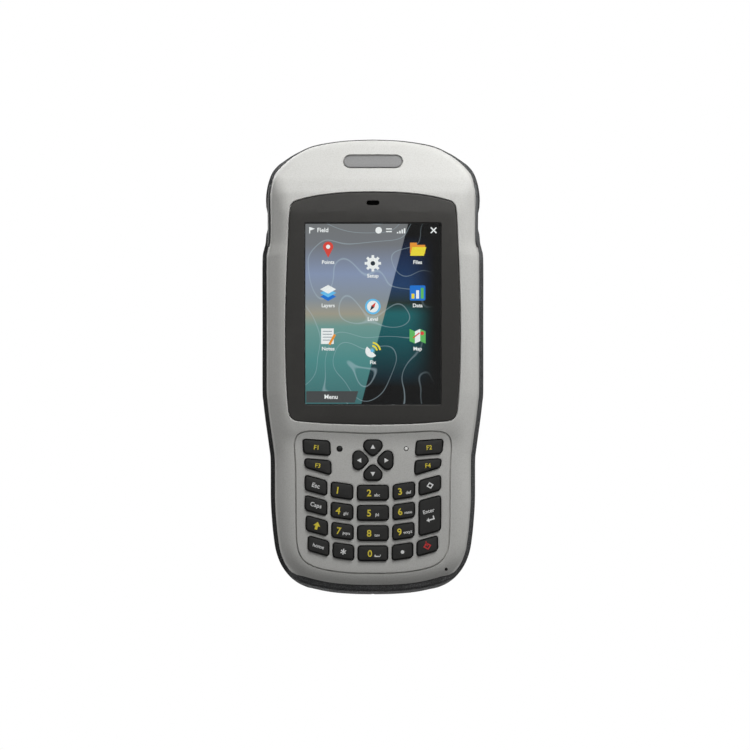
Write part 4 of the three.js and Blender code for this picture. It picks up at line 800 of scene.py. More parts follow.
@dataclass
class JointLine:
    """The band's two edges and the joint between the housings, which run along its middle."""

    form: CaseForm
    turn_share: float = -0.81
    corner: float = 2.6
    front_shares: Shares = (
        (1.056, 1.035), (0.78, 0.934), (0.652, 0.879), (0.606, 0.819), (0.612, 0.769), (0.661, 0.715),
        (0.733, 0.671), (0.752, 0.642), (0.733, 0.608), (0.683, 0.582), (0.463, 0.48), (0.43, 0.45),
    )
    rear_shares: Shares = (
        (1.354, 1.028), (0.96, 0.886), (0.814, 0.83), (0.745, 0.789), (0.739, 0.764), (0.795, 0.719),
        (0.857, 0.668), (0.873, 0.636), (0.854, 0.593), (0.792, 0.5525), (0.677, 0.501), (0.646, 0.468),
    )
    front_end_shares: Shares = (
        (1.2, 0.43), (0.809, 0.43), (0.773, 0.373), (0.746, 0.273), (0.706, 0.193), (0.643, 0.149),
        (0.562, 0.143), (0, 0.143),
    )
    rear_end_shares: Shares = (
        (1.2, 0.646), (0.822, 0.646), (0.742, 0.596), (0.679, 0.509), (0.656, 0.404), (0.627, 0.317),
        (0.562, 0.273), (0, 0.273),
    )

    def side(self, shares: Shares) -> Array:
        """An edge seen from the side, from the top end down to the turn."""
        points = scaled(shares, self.form.body_depth, self.form.half_length)
        turn = [points[-1, 0], self.turn_share * self.form.half_length]
        return np.concatenate([points, [turn]])

    def end(self, shares: Shares) -> Array:
        """An edge seen from the bottom end, from the left to the right."""
        right = scaled(shares, self.form.half_width, self.form.body_depth)
        return np.concatenate([right * [-1, 1], right[:-1][::-1]])

    def region(self, front: float | None, rear: float | None) -> Solid:
        """The space between two lines along the joint.

        Args:
            front: How far the front line is moved towards the back from the band's front edge, or none for
                all that lies in front.
            rear: The same for the rear line from the band's rear edge, or none for all that lies behind.

        Returns:
            The region as a solid.
        """
        turn = self.turn_share * self.form.half_length
        lines = []
        for shares, end_shares, move, far in (
            (self.front_shares, self.front_end_shares, front, -40.0),
            (self.rear_shares, self.rear_end_shares, rear, 90.0),
        ):
            side, end = self.side(shares), self.end(end_shares)
            if move is None:
                side, end = side * [0, 1] + [far, 0], end * [1, 0] + [0, far]
            else:
                side = shifted(rounded(side, self.corner, 6, closed=False), -move)
                end = shifted(rounded(end, self.corner, 6, closed=False), -move)
            lines.append((side, end))
        (front_side, front_end), (rear_side, rear_end) = lines
        side = anticlockwise(np.concatenate([front_side, rear_side[::-1]]))
        end = anticlockwise(np.concatenate([front_end, rear_end[::-1]]))
        return bar(RIGHT, side, -80, 80) + bar(BOTTOM, end, -190, turn + 0.5)


# Shader groups and finishes


@dataclass(eq=False)
class Graph:
    """A short way to write a node tree."""

    tree: NodeTree

    def feed(self, node: Node, inputs: dict) -> Node:
        """Gives a node what its inputs read.

        Args:
            node: The node.
            inputs: Values or sockets by input name or number.

        Returns:
            The node.
        """
        for name, value in inputs.items():
            if isinstance(value, NodeSocket):
                self.tree.links.new(value, node.inputs[name])
            else:
                node.inputs[name].default_value = value
        return node

    def node(self, kind: str, inputs: dict | None = None, **settings: object) -> Node:
        """Adds a node.

        Args:
            kind: The node's type, without its ShaderNode prefix.
            inputs: Values or sockets by input name or number.
            settings: The node's own settings.

        Returns:
            The node.
        """
        made = self.tree.nodes.new("ShaderNode" + kind)
        for name, value in settings.items():
            setattr(made, name, value)
        return self.feed(made, inputs or {})

    def effect(self, effect: Effect, vector: NodeSocket, value: float) -> Sequence[NodeSocket]:
        """What a shared effect puts out, placed with its own vector and number."""
        made = self.tree.nodes.new("ShaderNodeGroup")
        made.node_tree = EFFECTS.group(effect)
        return self.feed(made, {0: vector, 1: value}).outputs

    def noise(self, vector: NodeSocket, scale: object, detail: float, roughness: float = 0.5) -> NodeSocket:
        """The value of a noise pattern."""
        inputs = {"Vector": vector, "Scale": scale, "Detail": detail, "Roughness": roughness}
        return self.node("TexNoise", inputs).outputs["Fac"]

    def math(self, operation: str, *values: object, clamp: bool = False) -> NodeSocket:
        """The result of a math node."""
        made = self.node("Math", dict(enumerate(values)), operation=operation, use_clamp=clamp)
        return made.outputs[0]

    def span(
        self, value: object, low: float, high: float, to_low: float = 0, to_high: float = 1
    ) -> NodeSocket:
        """A value carried smoothly from one span to another."""
        inputs = {"Value": value, "From Min": low, "From Max": high, "To Min": to_low, "To Max": to_high}
        return self.node("MapRange", inputs, interpolation_type="SMOOTHSTEP").outputs["Result"]

    def blend(self, share: object, a: object, b: object) -> NodeSocket:
        """Two colours mixed by a share."""
        return self.node("Mix", {0: share, 6: a, 7: b}, data_type="RGBA").outputs[2]

    def ramp(self, value: object, stops: Sequence[tuple[float, int]]) -> NodeSocket:
        """A colour ramp through written colours."""
        made = self.node("ValToRGB", {"Fac": value})
        elements = made.color_ramp.elements
        while len(elements) < len(stops):
            elements.new(0.5)
        for element, (place, code) in zip(elements, stops):
            element.position, element.color = place, linear(code)
        return made.outputs["Color"]


class Effect(Enum):
    """Shared surface effects, each a node group built once."""

    GRAIN = "moulded_grain"
    LEATHER = "leather_grain"
    WEAR = "edge_wear"
    DUST = "dust"


@dataclass
class EffectLibrary:
    """Builds the shared node groups when they are first asked for."""

    built: dict[Effect, NodeTree] = field(default_factory=dict)

    def group(self, effect: Effect) -> NodeTree:
        """The node group of an effect: a vector and a number in, and named numbers out."""
        if effect not in self.built:
            write, number, value, results = {
                Effect.GRAIN: (self._grain, "Scale", 1400.0, ("Height", "Speck")),
                Effect.LEATHER: (self._leather, "Scale", 900.0, ("Height", "Crease")),
                Effect.WEAR: (self._wear, "Amount", 0.5, ("Mask",)),
                Effect.DUST: (self._dust, "Amount", 0.5, ("Mask",)),
            }[effect]
            tree = bpy.data.node_groups.new(effect.value, "ShaderNodeTree")
            tree.interface.new_socket("Vector", in_out="INPUT", socket_type="NodeSocketVector")
            made = tree.interface.new_socket(number, in_out="INPUT", socket_type="NodeSocketFloat")
            made.default_value = value
            for name in results:
                tree.interface.new_socket(name, in_out="OUTPUT", socket_type="NodeSocketFloat")
            graph, given = Graph(tree), tree.nodes.new("NodeGroupInput").outputs
            sockets = write(graph, given["Vector"], given[number])
            graph.feed(tree.nodes.new("NodeGroupOutput"), dict(zip(results, sockets)))
            self.built[effect] = tree
        return self.built[effect]

    def _grain(self, graph: Graph, vector: NodeSocket, scale: NodeSocket) -> Sequence[NodeSocket]:
        """Spark-eroded mould grain: fine noise and small pits, as a height and a mask of specks."""
        pits = graph.node("TexVoronoi", {"Vector": vector, "Scale": scale}, feature="SMOOTH_F1")
        fine = graph.noise(vector, scale, 2.0, 0.6)
        height = graph.math("MULTIPLY_ADD", pits.outputs["Distance"], 0.6, fine)
        speck = graph.math("MULTIPLY", graph.span(height, 0.62, 0.98), 0.7)
        return height, graph.math("MULTIPLY_ADD", graph.noise(vector, 95.0, 3.0), 0.4, speck)

    def _leather(self, graph: Graph, vector: NodeSocket, scale: NodeSocket) -> Sequence[NodeSocket]:
        """Leather grain of moulded rubber: rounded cells parted by creases, as a height and a crease mask."""
        warp = graph.node("TexNoise", {"Vector": vector, "Scale": 400.0, "Detail": 2.0})
        moved = graph.node("VectorMath", {0: warp.outputs["Color"], "Scale": 0.0012}, operation="SCALE")
        place = graph.node("VectorMath", {0: vector, 1: moved.outputs[0]}, operation="ADD").outputs[0]
        cells = graph.node("TexVoronoi", {"Vector": place, "Scale": scale}, feature="DISTANCE_TO_EDGE")
        crease = graph.span(cells.outputs["Distance"], 0.0, 0.26, 1.0, 0.0)
        return graph.math("SUBTRACT", 1.0, crease), crease

    def _wear(self, graph: Graph, vector: NodeSocket, amount: NodeSocket) -> Sequence[NodeSocket]:
        """Edge wear: convex edges by the mesh's pointiness, broken up by noise."""
        edge = graph.span(graph.node("NewGeometry").outputs["Pointiness"], 0.52, 0.6)
        broken = graph.math("MULTIPLY", edge, graph.span(graph.noise(vector, 260.0, 4.0), 0.35, 0.65))
        return [graph.math("MULTIPLY", broken, amount)]

    def _dust(self, graph: Graph, vector: NodeSocket, amount: NodeSocket) -> Sequence[NodeSocket]:
        """Handling marks: soft patches of dust and polish."""
        mask = graph.span(graph.noise(vector, 38.0, 5.0, 0.65), 0.45, 0.75)
        return [graph.math("MULTIPLY", mask, amount)]


EFFECTS = EffectLibrary()


@dataclass(frozen=True)
class Surface:
    """What every finish shares: a name, and a material that is built on the first call."""

    name: str

    def material(self) -> Material:
        """The material."""
        found = bpy.data.materials.get(self.name)
        if found:
            return found
        made, graph, shader = blank_material(self.name)
        self.paint(graph, shader, graph.node("TexCoord").outputs["Object"])
        return made

    def paint(self, graph: Graph, shader: Node, place: NodeSocket) -> None:
        """Sets the shader up, with the places of the object's points to read."""


@dataclass(frozen=True)
class Finish(Surface):
    """A moulded, painted or metal surface.

    Args:
        color: Written colour of the surface.
        roughness: Plain roughness.
        metallic: One for metal.
        grain: Which grain the surface has.
        grain_scale: Cells of grain in a metre.
        grain_height: Height of the grain in metres.
        tint: Written colour that the blotches lean to.
        tint_share: How far they lean.
        worn: Written colour of worn edges.
        wear: How much of the edges is worn.
        dust: How much lighter handling marks are.
        rim_shade: How dark the painted shade along the rim attribute makes the surface.
        specular: How strongly the surface mirrors, of a half as usual.
    """

    color: int
    roughness: float
    metallic: float = 0.0
    grain: Effect = Effect.GRAIN
    grain_scale: float = 1400.0
    grain_height: float = 0.00002
    tint: int = 0x808080
    tint_share: float = 0.12
    worn: int = 0xFFFFFF
    wear: float = 0.0
    dust: float = 0.08
    rim_shade: float = 0.0
    specular: float = 0.3

    def paint(self, graph: Graph, shader: Node, place: NodeSocket) -> None:
        """Grain as relief and blotches, with handling marks, worn edges and painted shade along rims over it;
        with leather grain the blotches lie in its creases, where a dark tint paints shade.
        """
        grain = graph.effect(self.grain, place, self.grain_scale)
        dust = graph.effect(Effect.DUST, place, 1.0)[0]
        tint = graph.math("MULTIPLY", grain[1], self.tint_share)
        color = graph.blend(tint, linear(self.color), linear(self.tint))
        color = graph.blend(graph.math("MULTIPLY", dust, self.dust), color, linear(0xB8B4AC))
        if self.wear:
            edges = graph.math("MULTIPLY", graph.effect(Effect.WEAR, place, 1.0)[0], self.wear)
            color = graph.blend(edges, color, linear(self.worn))
        # Painted shade: the colour is darkened towards near black along the rim attribute, next to the
        # outline.
        if self.rim_shade:
            rim = graph.node("Attribute", attribute_name="rim").outputs["Fac"]
            color = graph.blend(graph.math("MULTIPLY", rim, self.rim_shade), color, linear(0x060606))
        relief = {"Height": grain[0], "Distance": self.grain_height, "Strength": 1.0}
        graph.feed(shader, {
            "Base Color": color, "Metallic": self.metallic, "Specular IOR Level": self.specular,
            "Roughness": graph.math("MULTIPLY_ADD", dust, 0.1, self.roughness, clamp=True),
            "Normal": graph.node("Bump", relief).outputs[0],
        })


@dataclass(frozen=True)
class ClearFinish(Surface):
    """Clear glass or clear plastic."""

    roughness: float = 0.0
    tint: int = 0xF4F8F8

    def paint(self, graph: Graph, shader: Node, place: NodeSocket) -> None:
        """A clear body with faint smears."""
        smear = graph.noise(place, 60.0, 4.0)
        graph.feed(shader, {
            "Roughness": graph.span(smear, 0.5, 0.8, self.roughness, self.roughness + 0.02),
            "Base Color": linear(self.tint), "Transmission Weight": 1.0, "IOR": 1.46,
        })


@dataclass(frozen=True)
class PrintFinish(Surface):
    """Printed ink, or a lit area when it glows."""

    color: int
    glow: float = 0.0

    def paint(self, graph: Graph, shader: Node, place: NodeSocket) -> None:
        """A colour with fine flecks, given off as light when it glows."""
        share = graph.span(graph.noise(place, 2600.0, 1.0), 0.3, 0.8, 0.0, 0.12)
        color = graph.blend(share, linear(self.color), linear(0x202020))
        inputs = {"Base Color": color, "Roughness": 0.5}
        if self.glow:
            inputs |= {
                "Base Color": linear(0x050505), "Emission Color": color, "Emission Strength": self.glow,
                "Specular IOR Level": 0.0,
            }
        graph.feed(shader, inputs)


@dataclass(frozen=True)
class MapFinish(Surface):
    """The display's lit background.

    Args:
        foot: Height of the picture's foot in metres.
        height: The picture's height in metres.
    """

    foot: float
    height: float

    def paint(self, graph: Graph, shader: Node, place: NodeSocket) -> None:
        """A sky-to-water fade with a painted reflection that makes it paler left of a slanted line, with
        contour lines over it and black to the right and at the foot."""
        across, _, up = graph.node("SeparateXYZ", {0: place}).outputs
        rise = graph.math("DIVIDE", graph.math("SUBTRACT", up, self.foot), self.height)
        # Paler copy of the map's colours: a painted reflection on the glass, laid left of a slanted line.
        painted_glare_colors = graph.ramp(rise, [
            (0.0, 0x3E6C6E), (0.25, 0x4E8C8A), (0.43, 0x6F9A94), (0.5, 0xA29C8C), (0.58, 0x8B939B),
            (0.72, 0x8A97B4), (0.88, 0x77797E), (1.0, 0x757677),
        ])
        deep = graph.ramp(rise, [
            (0.1, 0x010102), (0.16, 0x05242E), (0.36, 0x0E5258), (0.5, 0x1A6468), (0.56, 0x20302C),
            (0.66, 0x1C3C66), (0.8, 0x10284C), (0.93, 0x010101),
        ])
        # The edge of the painted reflection: a slanted line across the picture.
        painted_glare_edge = graph.math("SUBTRACT", across, graph.math("MULTIPLY_ADD", up, 0.26, -0.0253))
        color = graph.blend(graph.span(painted_glare_edge, -0.0002, 0.0002), painted_glare_colors, deep)
        wave = graph.math("FRACT", graph.math("MULTIPLY", graph.noise(place, 30.0, 1.0, 0.4), 13.0))
        line = graph.span(graph.math("ABSOLUTE", graph.math("SUBTRACT", wave, 0.5)), 0.0, 0.05, 0.3, 0.0)
        color = graph.blend(line, color, linear(0xC8DCE6))
        color = graph.blend(graph.span(across, 0.013, 0.0262), color, linear(0x010101))
        graph.feed(shader, {
            "Emission Color": color, "Emission Strength": 1.0, "Base Color": linear(0x020202),
            "Specular IOR Level": 0.0,
        })


def blank_material(name: str) -> tuple[Material, Graph, Node]:
    """A new material with its shader and output only."""
    made = bpy.data.materials.new(name)
    made.use_nodes = True
    graph = Graph(made.node_tree)
    return made, graph, made.node_tree.nodes["Principled BSDF"]


FRONT_PLASTIC = Finish(
    "front_plastic", 0xCBCBC8, 0.6, grain_scale=2300, grain_height=0.00004, tint=0xB2B1AC, tint_share=0.5,
    worn=0xE4E4E0, wear=0.3, dust=0.05,
)
REAR_PLASTIC = Finish(
    "rear_plastic", 0xBFBFBD, 0.58, grain_scale=2300, grain_height=0.00004, tint=0xA6A5A1, tint_share=0.5,
    worn=0xDEDEDA, wear=0.3, dust=0.05,
)
DOOR_PLASTIC = Finish(
    "door_plastic", 0xB8B8B6, 0.56, grain_scale=2500, grain_height=0.00003, tint=0xA2A19D, tint_share=0.5,
    wear=0.3, dust=0.05,
)
# The leather grain's creases lean to the dark tint: painted shade in the creases.
BAND_RUBBER = Finish(
    "band_finish", 0x646566, 0.78, grain=Effect.LEATHER, grain_scale=1500, grain_height=0.00016,
    tint=0x2C2D2D, tint_share=0.7, worn=0x77777A, wear=0.15, dust=0.06, specular=0.2,
)
COVER_RUBBER = Finish(
    "cover_finish", 0x585A5B, 0.7, grain_scale=1900, grain_height=0.000016, tint=0x464849, tint_share=0.4,
    worn=0x6E6F70, wear=0.2, dust=0.05, specular=0.25,
)
SEAL_RUBBER = Finish("seal_finish", 0x242526, 0.8, grain_scale=1800, tint=0x33302C)
BEZEL_PAINT = Finish(
    "bezel_paint", 0x3F3E3C, 0.5, grain_scale=2600, grain_height=0.000006, tint=0x363533, tint_share=0.4,
    dust=0.02, specular=0.25,
)
# Its rim attribute gives painted shade along the badge's outline.
BADGE_METAL = Finish(
    "badge_metal", 0x8E8E8E, 0.4, metallic=0.3, grain_scale=3200, grain_height=0.000004, tint=0x7A7A7A,
    tint_share=0.5, worn=0xD8D8D8, wear=0.6, dust=0.03, rim_shade=0.7,
)
# Its rim attribute gives painted shade along each key's edge.
KEY_RUBBER = Finish(
    "key_rubber", 0x363635, 0.6, grain_scale=2600, grain_height=0.000008, tint=0x2C2C2C, tint_share=0.4,
    worn=0x5A5B5B, wear=0.1, dust=0.03, rim_shade=0.85, specular=0.25,
)
MAT_RUBBER = Finish("mat_rubber", 0x1D1E1F, 0.8, grain_scale=1900, tint=0x2A2A2A)
BOARD_MASK = Finish("board_mask", 0x1F5A3A, 0.42, grain_scale=900, tint=0x2F7A4C, tint_share=0.6)
CELL_WRAP = Finish(
    "cell_wrap", 0x2B2F38, 0.4, grain_scale=700, grain_height=0.00001, tint=0x39414F, tint_share=0.5
)
BRUSHED_STEEL = Finish(
    "brushed_steel", 0xA9ABAD, 0.34, metallic=0.9, grain_scale=3600, grain_height=0.000006, tint=0x8A8C8E,
    tint_share=0.5, worn=0xE8E8E8, wear=0.4
)
DARK_SCREW = Finish(
    "dark_screw", 0x6F7173, 0.4, metallic=0.85, grain_scale=3000, grain_height=0.00001, tint=0x3C3D3E,
    tint_share=0.5, worn=0xB5B6B7, wear=0.6
)
GOLD_CONTACT = Finish(
    "gold_contact", 0xC7A24A, 0.3, metallic=0.9, grain_scale=3600, grain_height=0.000004, tint=0xA88434,
    tint_share=0.4
)
CERAMIC = Finish(
    "ceramic", 0xCFC6B0, 0.5, grain_scale=1500, grain_height=0.00001, tint=0xB8AE98, tint_share=0.5
)
CAMERA_PAINT = Finish(
    "camera_paint", 0x2C2C2D, 0.38, grain_scale=2600, grain_height=0.000006, tint=0x3A3A3B,
    worn=0x7A7A7A, wear=0.4,
)
SPEAKER_CLOTH = Finish(
    "speaker_cloth", 0x18191A, 0.9, grain=Effect.LEATHER, grain_scale=2400, grain_height=0.00006,
    tint=0x2C2D2E, tint_share=0.6,
)
LCD_FRAME = Finish("lcd_frame", 0x0C0D0E, 0.5, grain_scale=2400, grain_height=0.000006, tint=0x17181A)
CLEAR_GLASS = ClearFinish("touch_glass")
CLEAR_PIPE = ClearFinish("light_pipe", 0.15, 0xE4E8E4)
LENS_GLASS = ClearFinish("camera_glass", 0.02, 0x9FB0C0)
YELLOW_INK = PrintFinish("yellow_ink", 0xF0DC46)
WHITE_INK = PrintFinish("white_ink", 0xF2F3F2)
RED_INK = PrintFinish("red_ink", 0xD83A3C)


# Finished pieces


@dataclass
class Piece:
    """A finished object: its name, the body that it rides on, its slot, which is not used, and the nodes that
    it stands for.
    """

    name: str
    body: str
    slot: str | None = None
    stands_for: Sequence[str] = ()
    smooth: float = 32.0

    def make(self, solid: Solid, finish: Surface, rim: Array | None = None) -> Object:
        """Puts the solid into the scene.

        Args:
            solid: The shape, in millimetres in the device's frame.
            finish: Its finish.
            rim: A value for each vertex, kept as the attribute that paints shade along rims.

        Returns:
            The object, riding on its body.
        """
        mesh = solid.mesh.copy()
        mesh.name = self.name
        mesh.vertices.foreach_set("co", ((solid.points() - ORIGIN) * MM).astype(np.float32).ravel())
        mesh.materials.clear()
        mesh.materials.append(finish.material())
        mesh.polygons.foreach_set("material_index", np.zeros(len(mesh.polygons), np.int32))
        mesh.polygons.foreach_set("use_smooth", np.ones(len(mesh.polygons), bool))
        mesh.set_sharp_from_angle(angle=math.radians(self.smooth))
        if rim is not None:
            mesh.attributes.new("rim", "FLOAT", "POINT").data.foreach_set("value", rim.astype(np.float32))
        mesh.update()
        item = linked(self.name, mesh)
        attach(item, self.body)
        if self.stands_for:
            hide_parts(*self.stands_for)
        log.info("%s: %d faces on %s", self.name, len(mesh.polygons), self.body)
        return item


def rim_shade(solid: Solid, outline: Array, reach: float) -> Array:
    """A value for each vertex of painted shade: one on a front outline, fading to nought over a reach."""
    near = np.min(np.linalg.norm(solid.points()[:, None, [0, 2]] - outline[None], axis=2), axis=1)
    return np.clip(1 - near / reach, 0, 1)


def dress(node: str, finish: Surface) -> None:
    """Gives a CAD node its finish."""
    data = frame["nodes"][node].data
    data.materials.clear()
    data.materials.append(finish.material())


# Sub-assemblies


@dataclass
class Housings:
    """The front and rear halves of the case, with every opening that is cut into them."""

    form: CaseForm
    joint: JointLine
    screen: Screen
    keypad: Keypad
    covers: Covers
    back: Back
    wall: float = 2.8
    gap: float = 0.3
    seat: float = 0.9
    to_joint: float = 4.2
    step: float = 0.95
    inner_step: float = 2.4
    seat_step: float = 1.6

    def build(self) -> None:
        """Makes both halves."""
        shell = self.form.solid(0.0, self.step) - self.form.solid(-self.wall, self.inner_step)
        channel = self._channel()
        self._front(shell, channel)
        self._rear(shell, channel)

    def _channel(self) -> Solid:
        """The groove that the band lies in."""
        seat = self.form.solid(-self.seat - self.gap, self.seat_step)
        return self.joint.region(-self.gap, self.gap) - seat

    def _front(self, shell: Solid, channel: Solid) -> None:
        """The front half: cut for the screen, the badge, the keys, the lights and the side covers."""
        solid = (shell & self.joint.region(None, -self.to_joint)) - channel
        cutters = self.screen.cutters() + self.keypad.cutters() + self.covers.side_cutters()
        solid = solid.without(cutters)
        Piece("front_case", "case", "case_front", ["front_housing"], 34).make(solid, FRONT_PLASTIC)

    def _rear(self, shell: Solid, channel: Solid) -> None:
        """The rear half: cut for the battery door, screws, strap, camera and the bottom end's cover."""
        solid = shell & self.joint.region(self.to_joint, None)
        for addition in self.back.additions():
            solid = solid + addition
        solid = (solid - channel).without(self.back.cutters() + self.covers.end_cutters())
        Piece("rear_case", "case", "case_rear", ["rear_housing"], 34).make(solid, REAR_PLASTIC)


@dataclass
class Band:
    """The rubber band: a leather-grained cushion with a lower lip along both edges."""

    form: CaseForm
    joint: JointLine
    proud: float = 1.5
    lip: float = 0.45
    lip_drop: float = 0.5
    seat: float = 0.9
    step: float = 1.0
    seat_step: float = 1.6

    def build(self) -> None:
        """Makes the band."""
        inner = self.form.solid(-self.seat, self.seat_step)
        cushion = (self.form.solid(self.proud, self.step) & self.joint.region(self.lip, -self.lip)) - inner
        lip = (self.form.solid(self.proud - self.lip_drop, self.step) & self.joint.region(0.0, 0.0)) - inner
        Piece("grip_band", "case", "band_rubber", ["bumper_band"], 40).make(cushion + lip, BAND_RUBBER)
        dress("housing_seal", SEAL_RUBBER)


@dataclass
class Covers:
    """The rubber covers of the two side ports and of the bottom end's ports."""

    form: CaseForm
    gap: float = 0.3
    rim: float = 0.28
    seat: float = 1.3
    side_proud: float = 0.7
    fold: Shares = ((9.0, 70.3), (21.5, 68.7))
    scoop_radius: float = 2.9
    scoop_depth: float = 0.8
    scoop_drop: float = 1.2
    side_shares: Shares = (
        (0.458, 0.799), (0.512, 0.799), (0.545, 0.776), (0.564, 0.74), (0.612, 0.702), (0.677, 0.661),
        (0.699, 0.637), (0.689, 0.62), (0.612, 0.579), (0.503, 0.528), (0.425, 0.518), (0.335, 0.532),
        (0.311, 0.5525), (0.313, 0.668), (0.346, 0.708), (0.396, 0.748), (0.432, 0.777),
    )
    end_half_width: float = 27.5
    end_front: float = 10.4
    end_rear: float = 28.4
    end_corner: float = 2.2
    end_proud: float = 0.75
    tab_proud: float = 1.5
    nine_pin_corners: Shares = ((1.0, 15.2), (18.2, 15.2), (17.0, 23.8), (2.2, 23.8))
    square_corners: Shares = (
        (-11.5, 24.6), (-11.5, 17.1), (-13.2, 15.4), (-19.7, 15.4), (-21.4, 17.1), (-21.4, 24.6)
    )
    pin_rows: Sequence[tuple[float, Sequence[float]]] = (
        (21.0, (14.2, 11.3, 8.2, 5.3)), (17.8, (15.8, 12.8, 9.8, 6.8, 3.9)),
    )
    window: Numbers = (4.7, 2.4, -16.45, 20.0)
    tab_fold: Numbers = (0.5, 9.0, 23.2, 22.2)
    tab_inner: float = 24.4
    tab_outer: float = 30.5
    tab_front: float = 17.4
    tab_rear: float = 27.0
    end_scoop: Pair = (29.6, 22.6)
    end_scoop_radius: float = 3.9
    end_scoop_depth: float = 1.2

    def side_outline(self) -> Array:
        """The side cover seen from the side, with its points rounded."""
        points = scaled(self.side_shares, self.form.body_depth, self.form.half_length)
        return resampled(soft(points, 1.6, 5), 200)

    def end_outline(self) -> Array:
        """The bottom end's cover seen from that end."""
        middle, deep = (self.end_front + self.end_rear) / 2, self.end_rear - self.end_front
        outline = round_rectangle(2 * self.end_half_width, deep, 0, middle, self.end_corner)
        return resampled(outline, 320)

    def tab_outline(self) -> Array:
        """The pull tab at the right of that cover."""
        middle, edge = (self.tab_front + self.tab_rear) / 2, self.end_half_width
        points = [
            (self.tab_inner, self.tab_front), (edge, self.tab_front), (self.tab_outer, middle),
            (edge, self.tab_rear), (self.tab_inner, self.tab_rear),
        ]
        return resampled(soft(points, self.end_corner / 2), 120)

    def _rimmed(self, facing: Facing, outline: Array, depth: float) -> Solid:
        """A recess with a softened rim."""
        gap, rim = self.gap, self.rim
        levels = [(gap + rim, -3), (gap + rim, -0.05), (gap + rim * 0.3, rim * 0.3), (gap, rim), (gap, depth)]
        return self.form.sleeve(facing, outline, levels)

    def side_cutters(self) -> list[Solid]:
        """Recesses and finger scoops of the side covers."""
        cutters = []
        outline = self.side_outline()
        top = outline[np.argmax(outline[:, 1])] - [0, self.scoop_drop]
        scoop = circle(self.scoop_radius, *top, 48)
        for facing in (RIGHT, LEFT):
            cutters.append(self._rimmed(facing, outline, self.seat + self.gap))
            cutters.append(self._scoop(facing, scoop, self.scoop_depth))
        return cutters

    def _scoop(self, facing: Facing, outline: Array, depth: float) -> Solid:
        """A shallow hollow for a finger, with a softened rim."""
        return self.form.sleeve(facing, outline, [(0.2, -3), (0.2, 0), (0, 0.25), (-0.1, depth)])

    def end_cutters(self) -> list[Solid]:
        """Recess and finger scoop of the bottom end's cover."""
        scoop = circle(self.end_scoop_radius, *self.end_scoop, 48)
        return [
            self._rimmed(BOTTOM, self.end_outline(), self.seat + self.gap),
            self._scoop(BOTTOM, scoop, self.end_scoop_depth),
        ]

    def build(self) -> None:
        """Makes the three covers."""
        for facing, name, node in (
            (RIGHT, "power_flap", "power_port_cover"),
            (LEFT, "antenna_flap", "antenna_port_cover"),
        ):
            self._side(facing, name, node)
        self._end()

    def _edge(self, proud: float) -> list[Pair]:
        """Rings up a cover's edge: its foot, its flank and a rounded rim."""
        return [(-0.4, self.seat), (0, self.seat), (0, -proud + 0.35), (-0.1, -proud + 0.12), (-0.35, -proud)]

    def _side(self, facing: Facing, name: str, node: str) -> None:
        """A side cover with a fold line across it, under its pull tab."""
        outline = self.side_outline()
        solid = self.form.cap(facing, outline, self._edge(self.side_proud), 16)
        (t0, l0), (t1, l1) = self.fold
        strip = resampled(np.array([(t0, l0 - 0.22), (t1, l1 - 0.22), (t1, l1 + 0.22), (t0, l0 + 0.22)]), 90)
        proud = self.side_proud
        solid = solid - self.form.sleeve(facing, strip, [(0, -2), (0, -proud), (-0.08, 0.35 - proud)])
        body = node.replace("_port", "")
        Piece(name, body, "cover_rubber", [node], 30).make(solid, COVER_RUBBER)

    def _end(self) -> None:
        """The bottom end's cover, with the ports' outlines engraved in it."""
        plate = self.form.cap(BOTTOM, self.end_outline(), self._edge(self.end_proud), 26)
        edge = [(-0.4, -self.gap), (0, -self.gap), (0, -1.2), (-0.1, -1.4), (-0.35, -self.tab_proud)]
        solid = plate + self.form.cap(BOTTOM, self.tab_outline(), edge, 12)
        sink = -self.end_proud + 0.3
        lines = (
            (soft(self.nine_pin_corners, 2.4, 6), 160), (soft(self.square_corners, 0.5, 2), 160),
            (rectangle(*self.window), 60),
        )
        cutters = [self.form.groove(BOTTOM, resampled(line, count), 0.5, sink) for line, count in lines]
        levels = [(0, -2), (0, -self.end_proud), (-0.2, sink)]
        for t, row in self.pin_rows:
            cutters += [self.form.sleeve(BOTTOM, circle(0.5, x, t, 16), levels) for x in row]
        fold = round_rectangle(*self.tab_fold, 0.2, 2)
        cutters.append(self.form.sleeve(BOTTOM, fold, [(0.1, -2), (0, sink)]))
        solid = solid.without(cutters)
        flap = Piece("interface_flap", "end_cover", "cover_rubber", ["interface_cover"], 30)
        flap.make(solid, COVER_RUBBER)


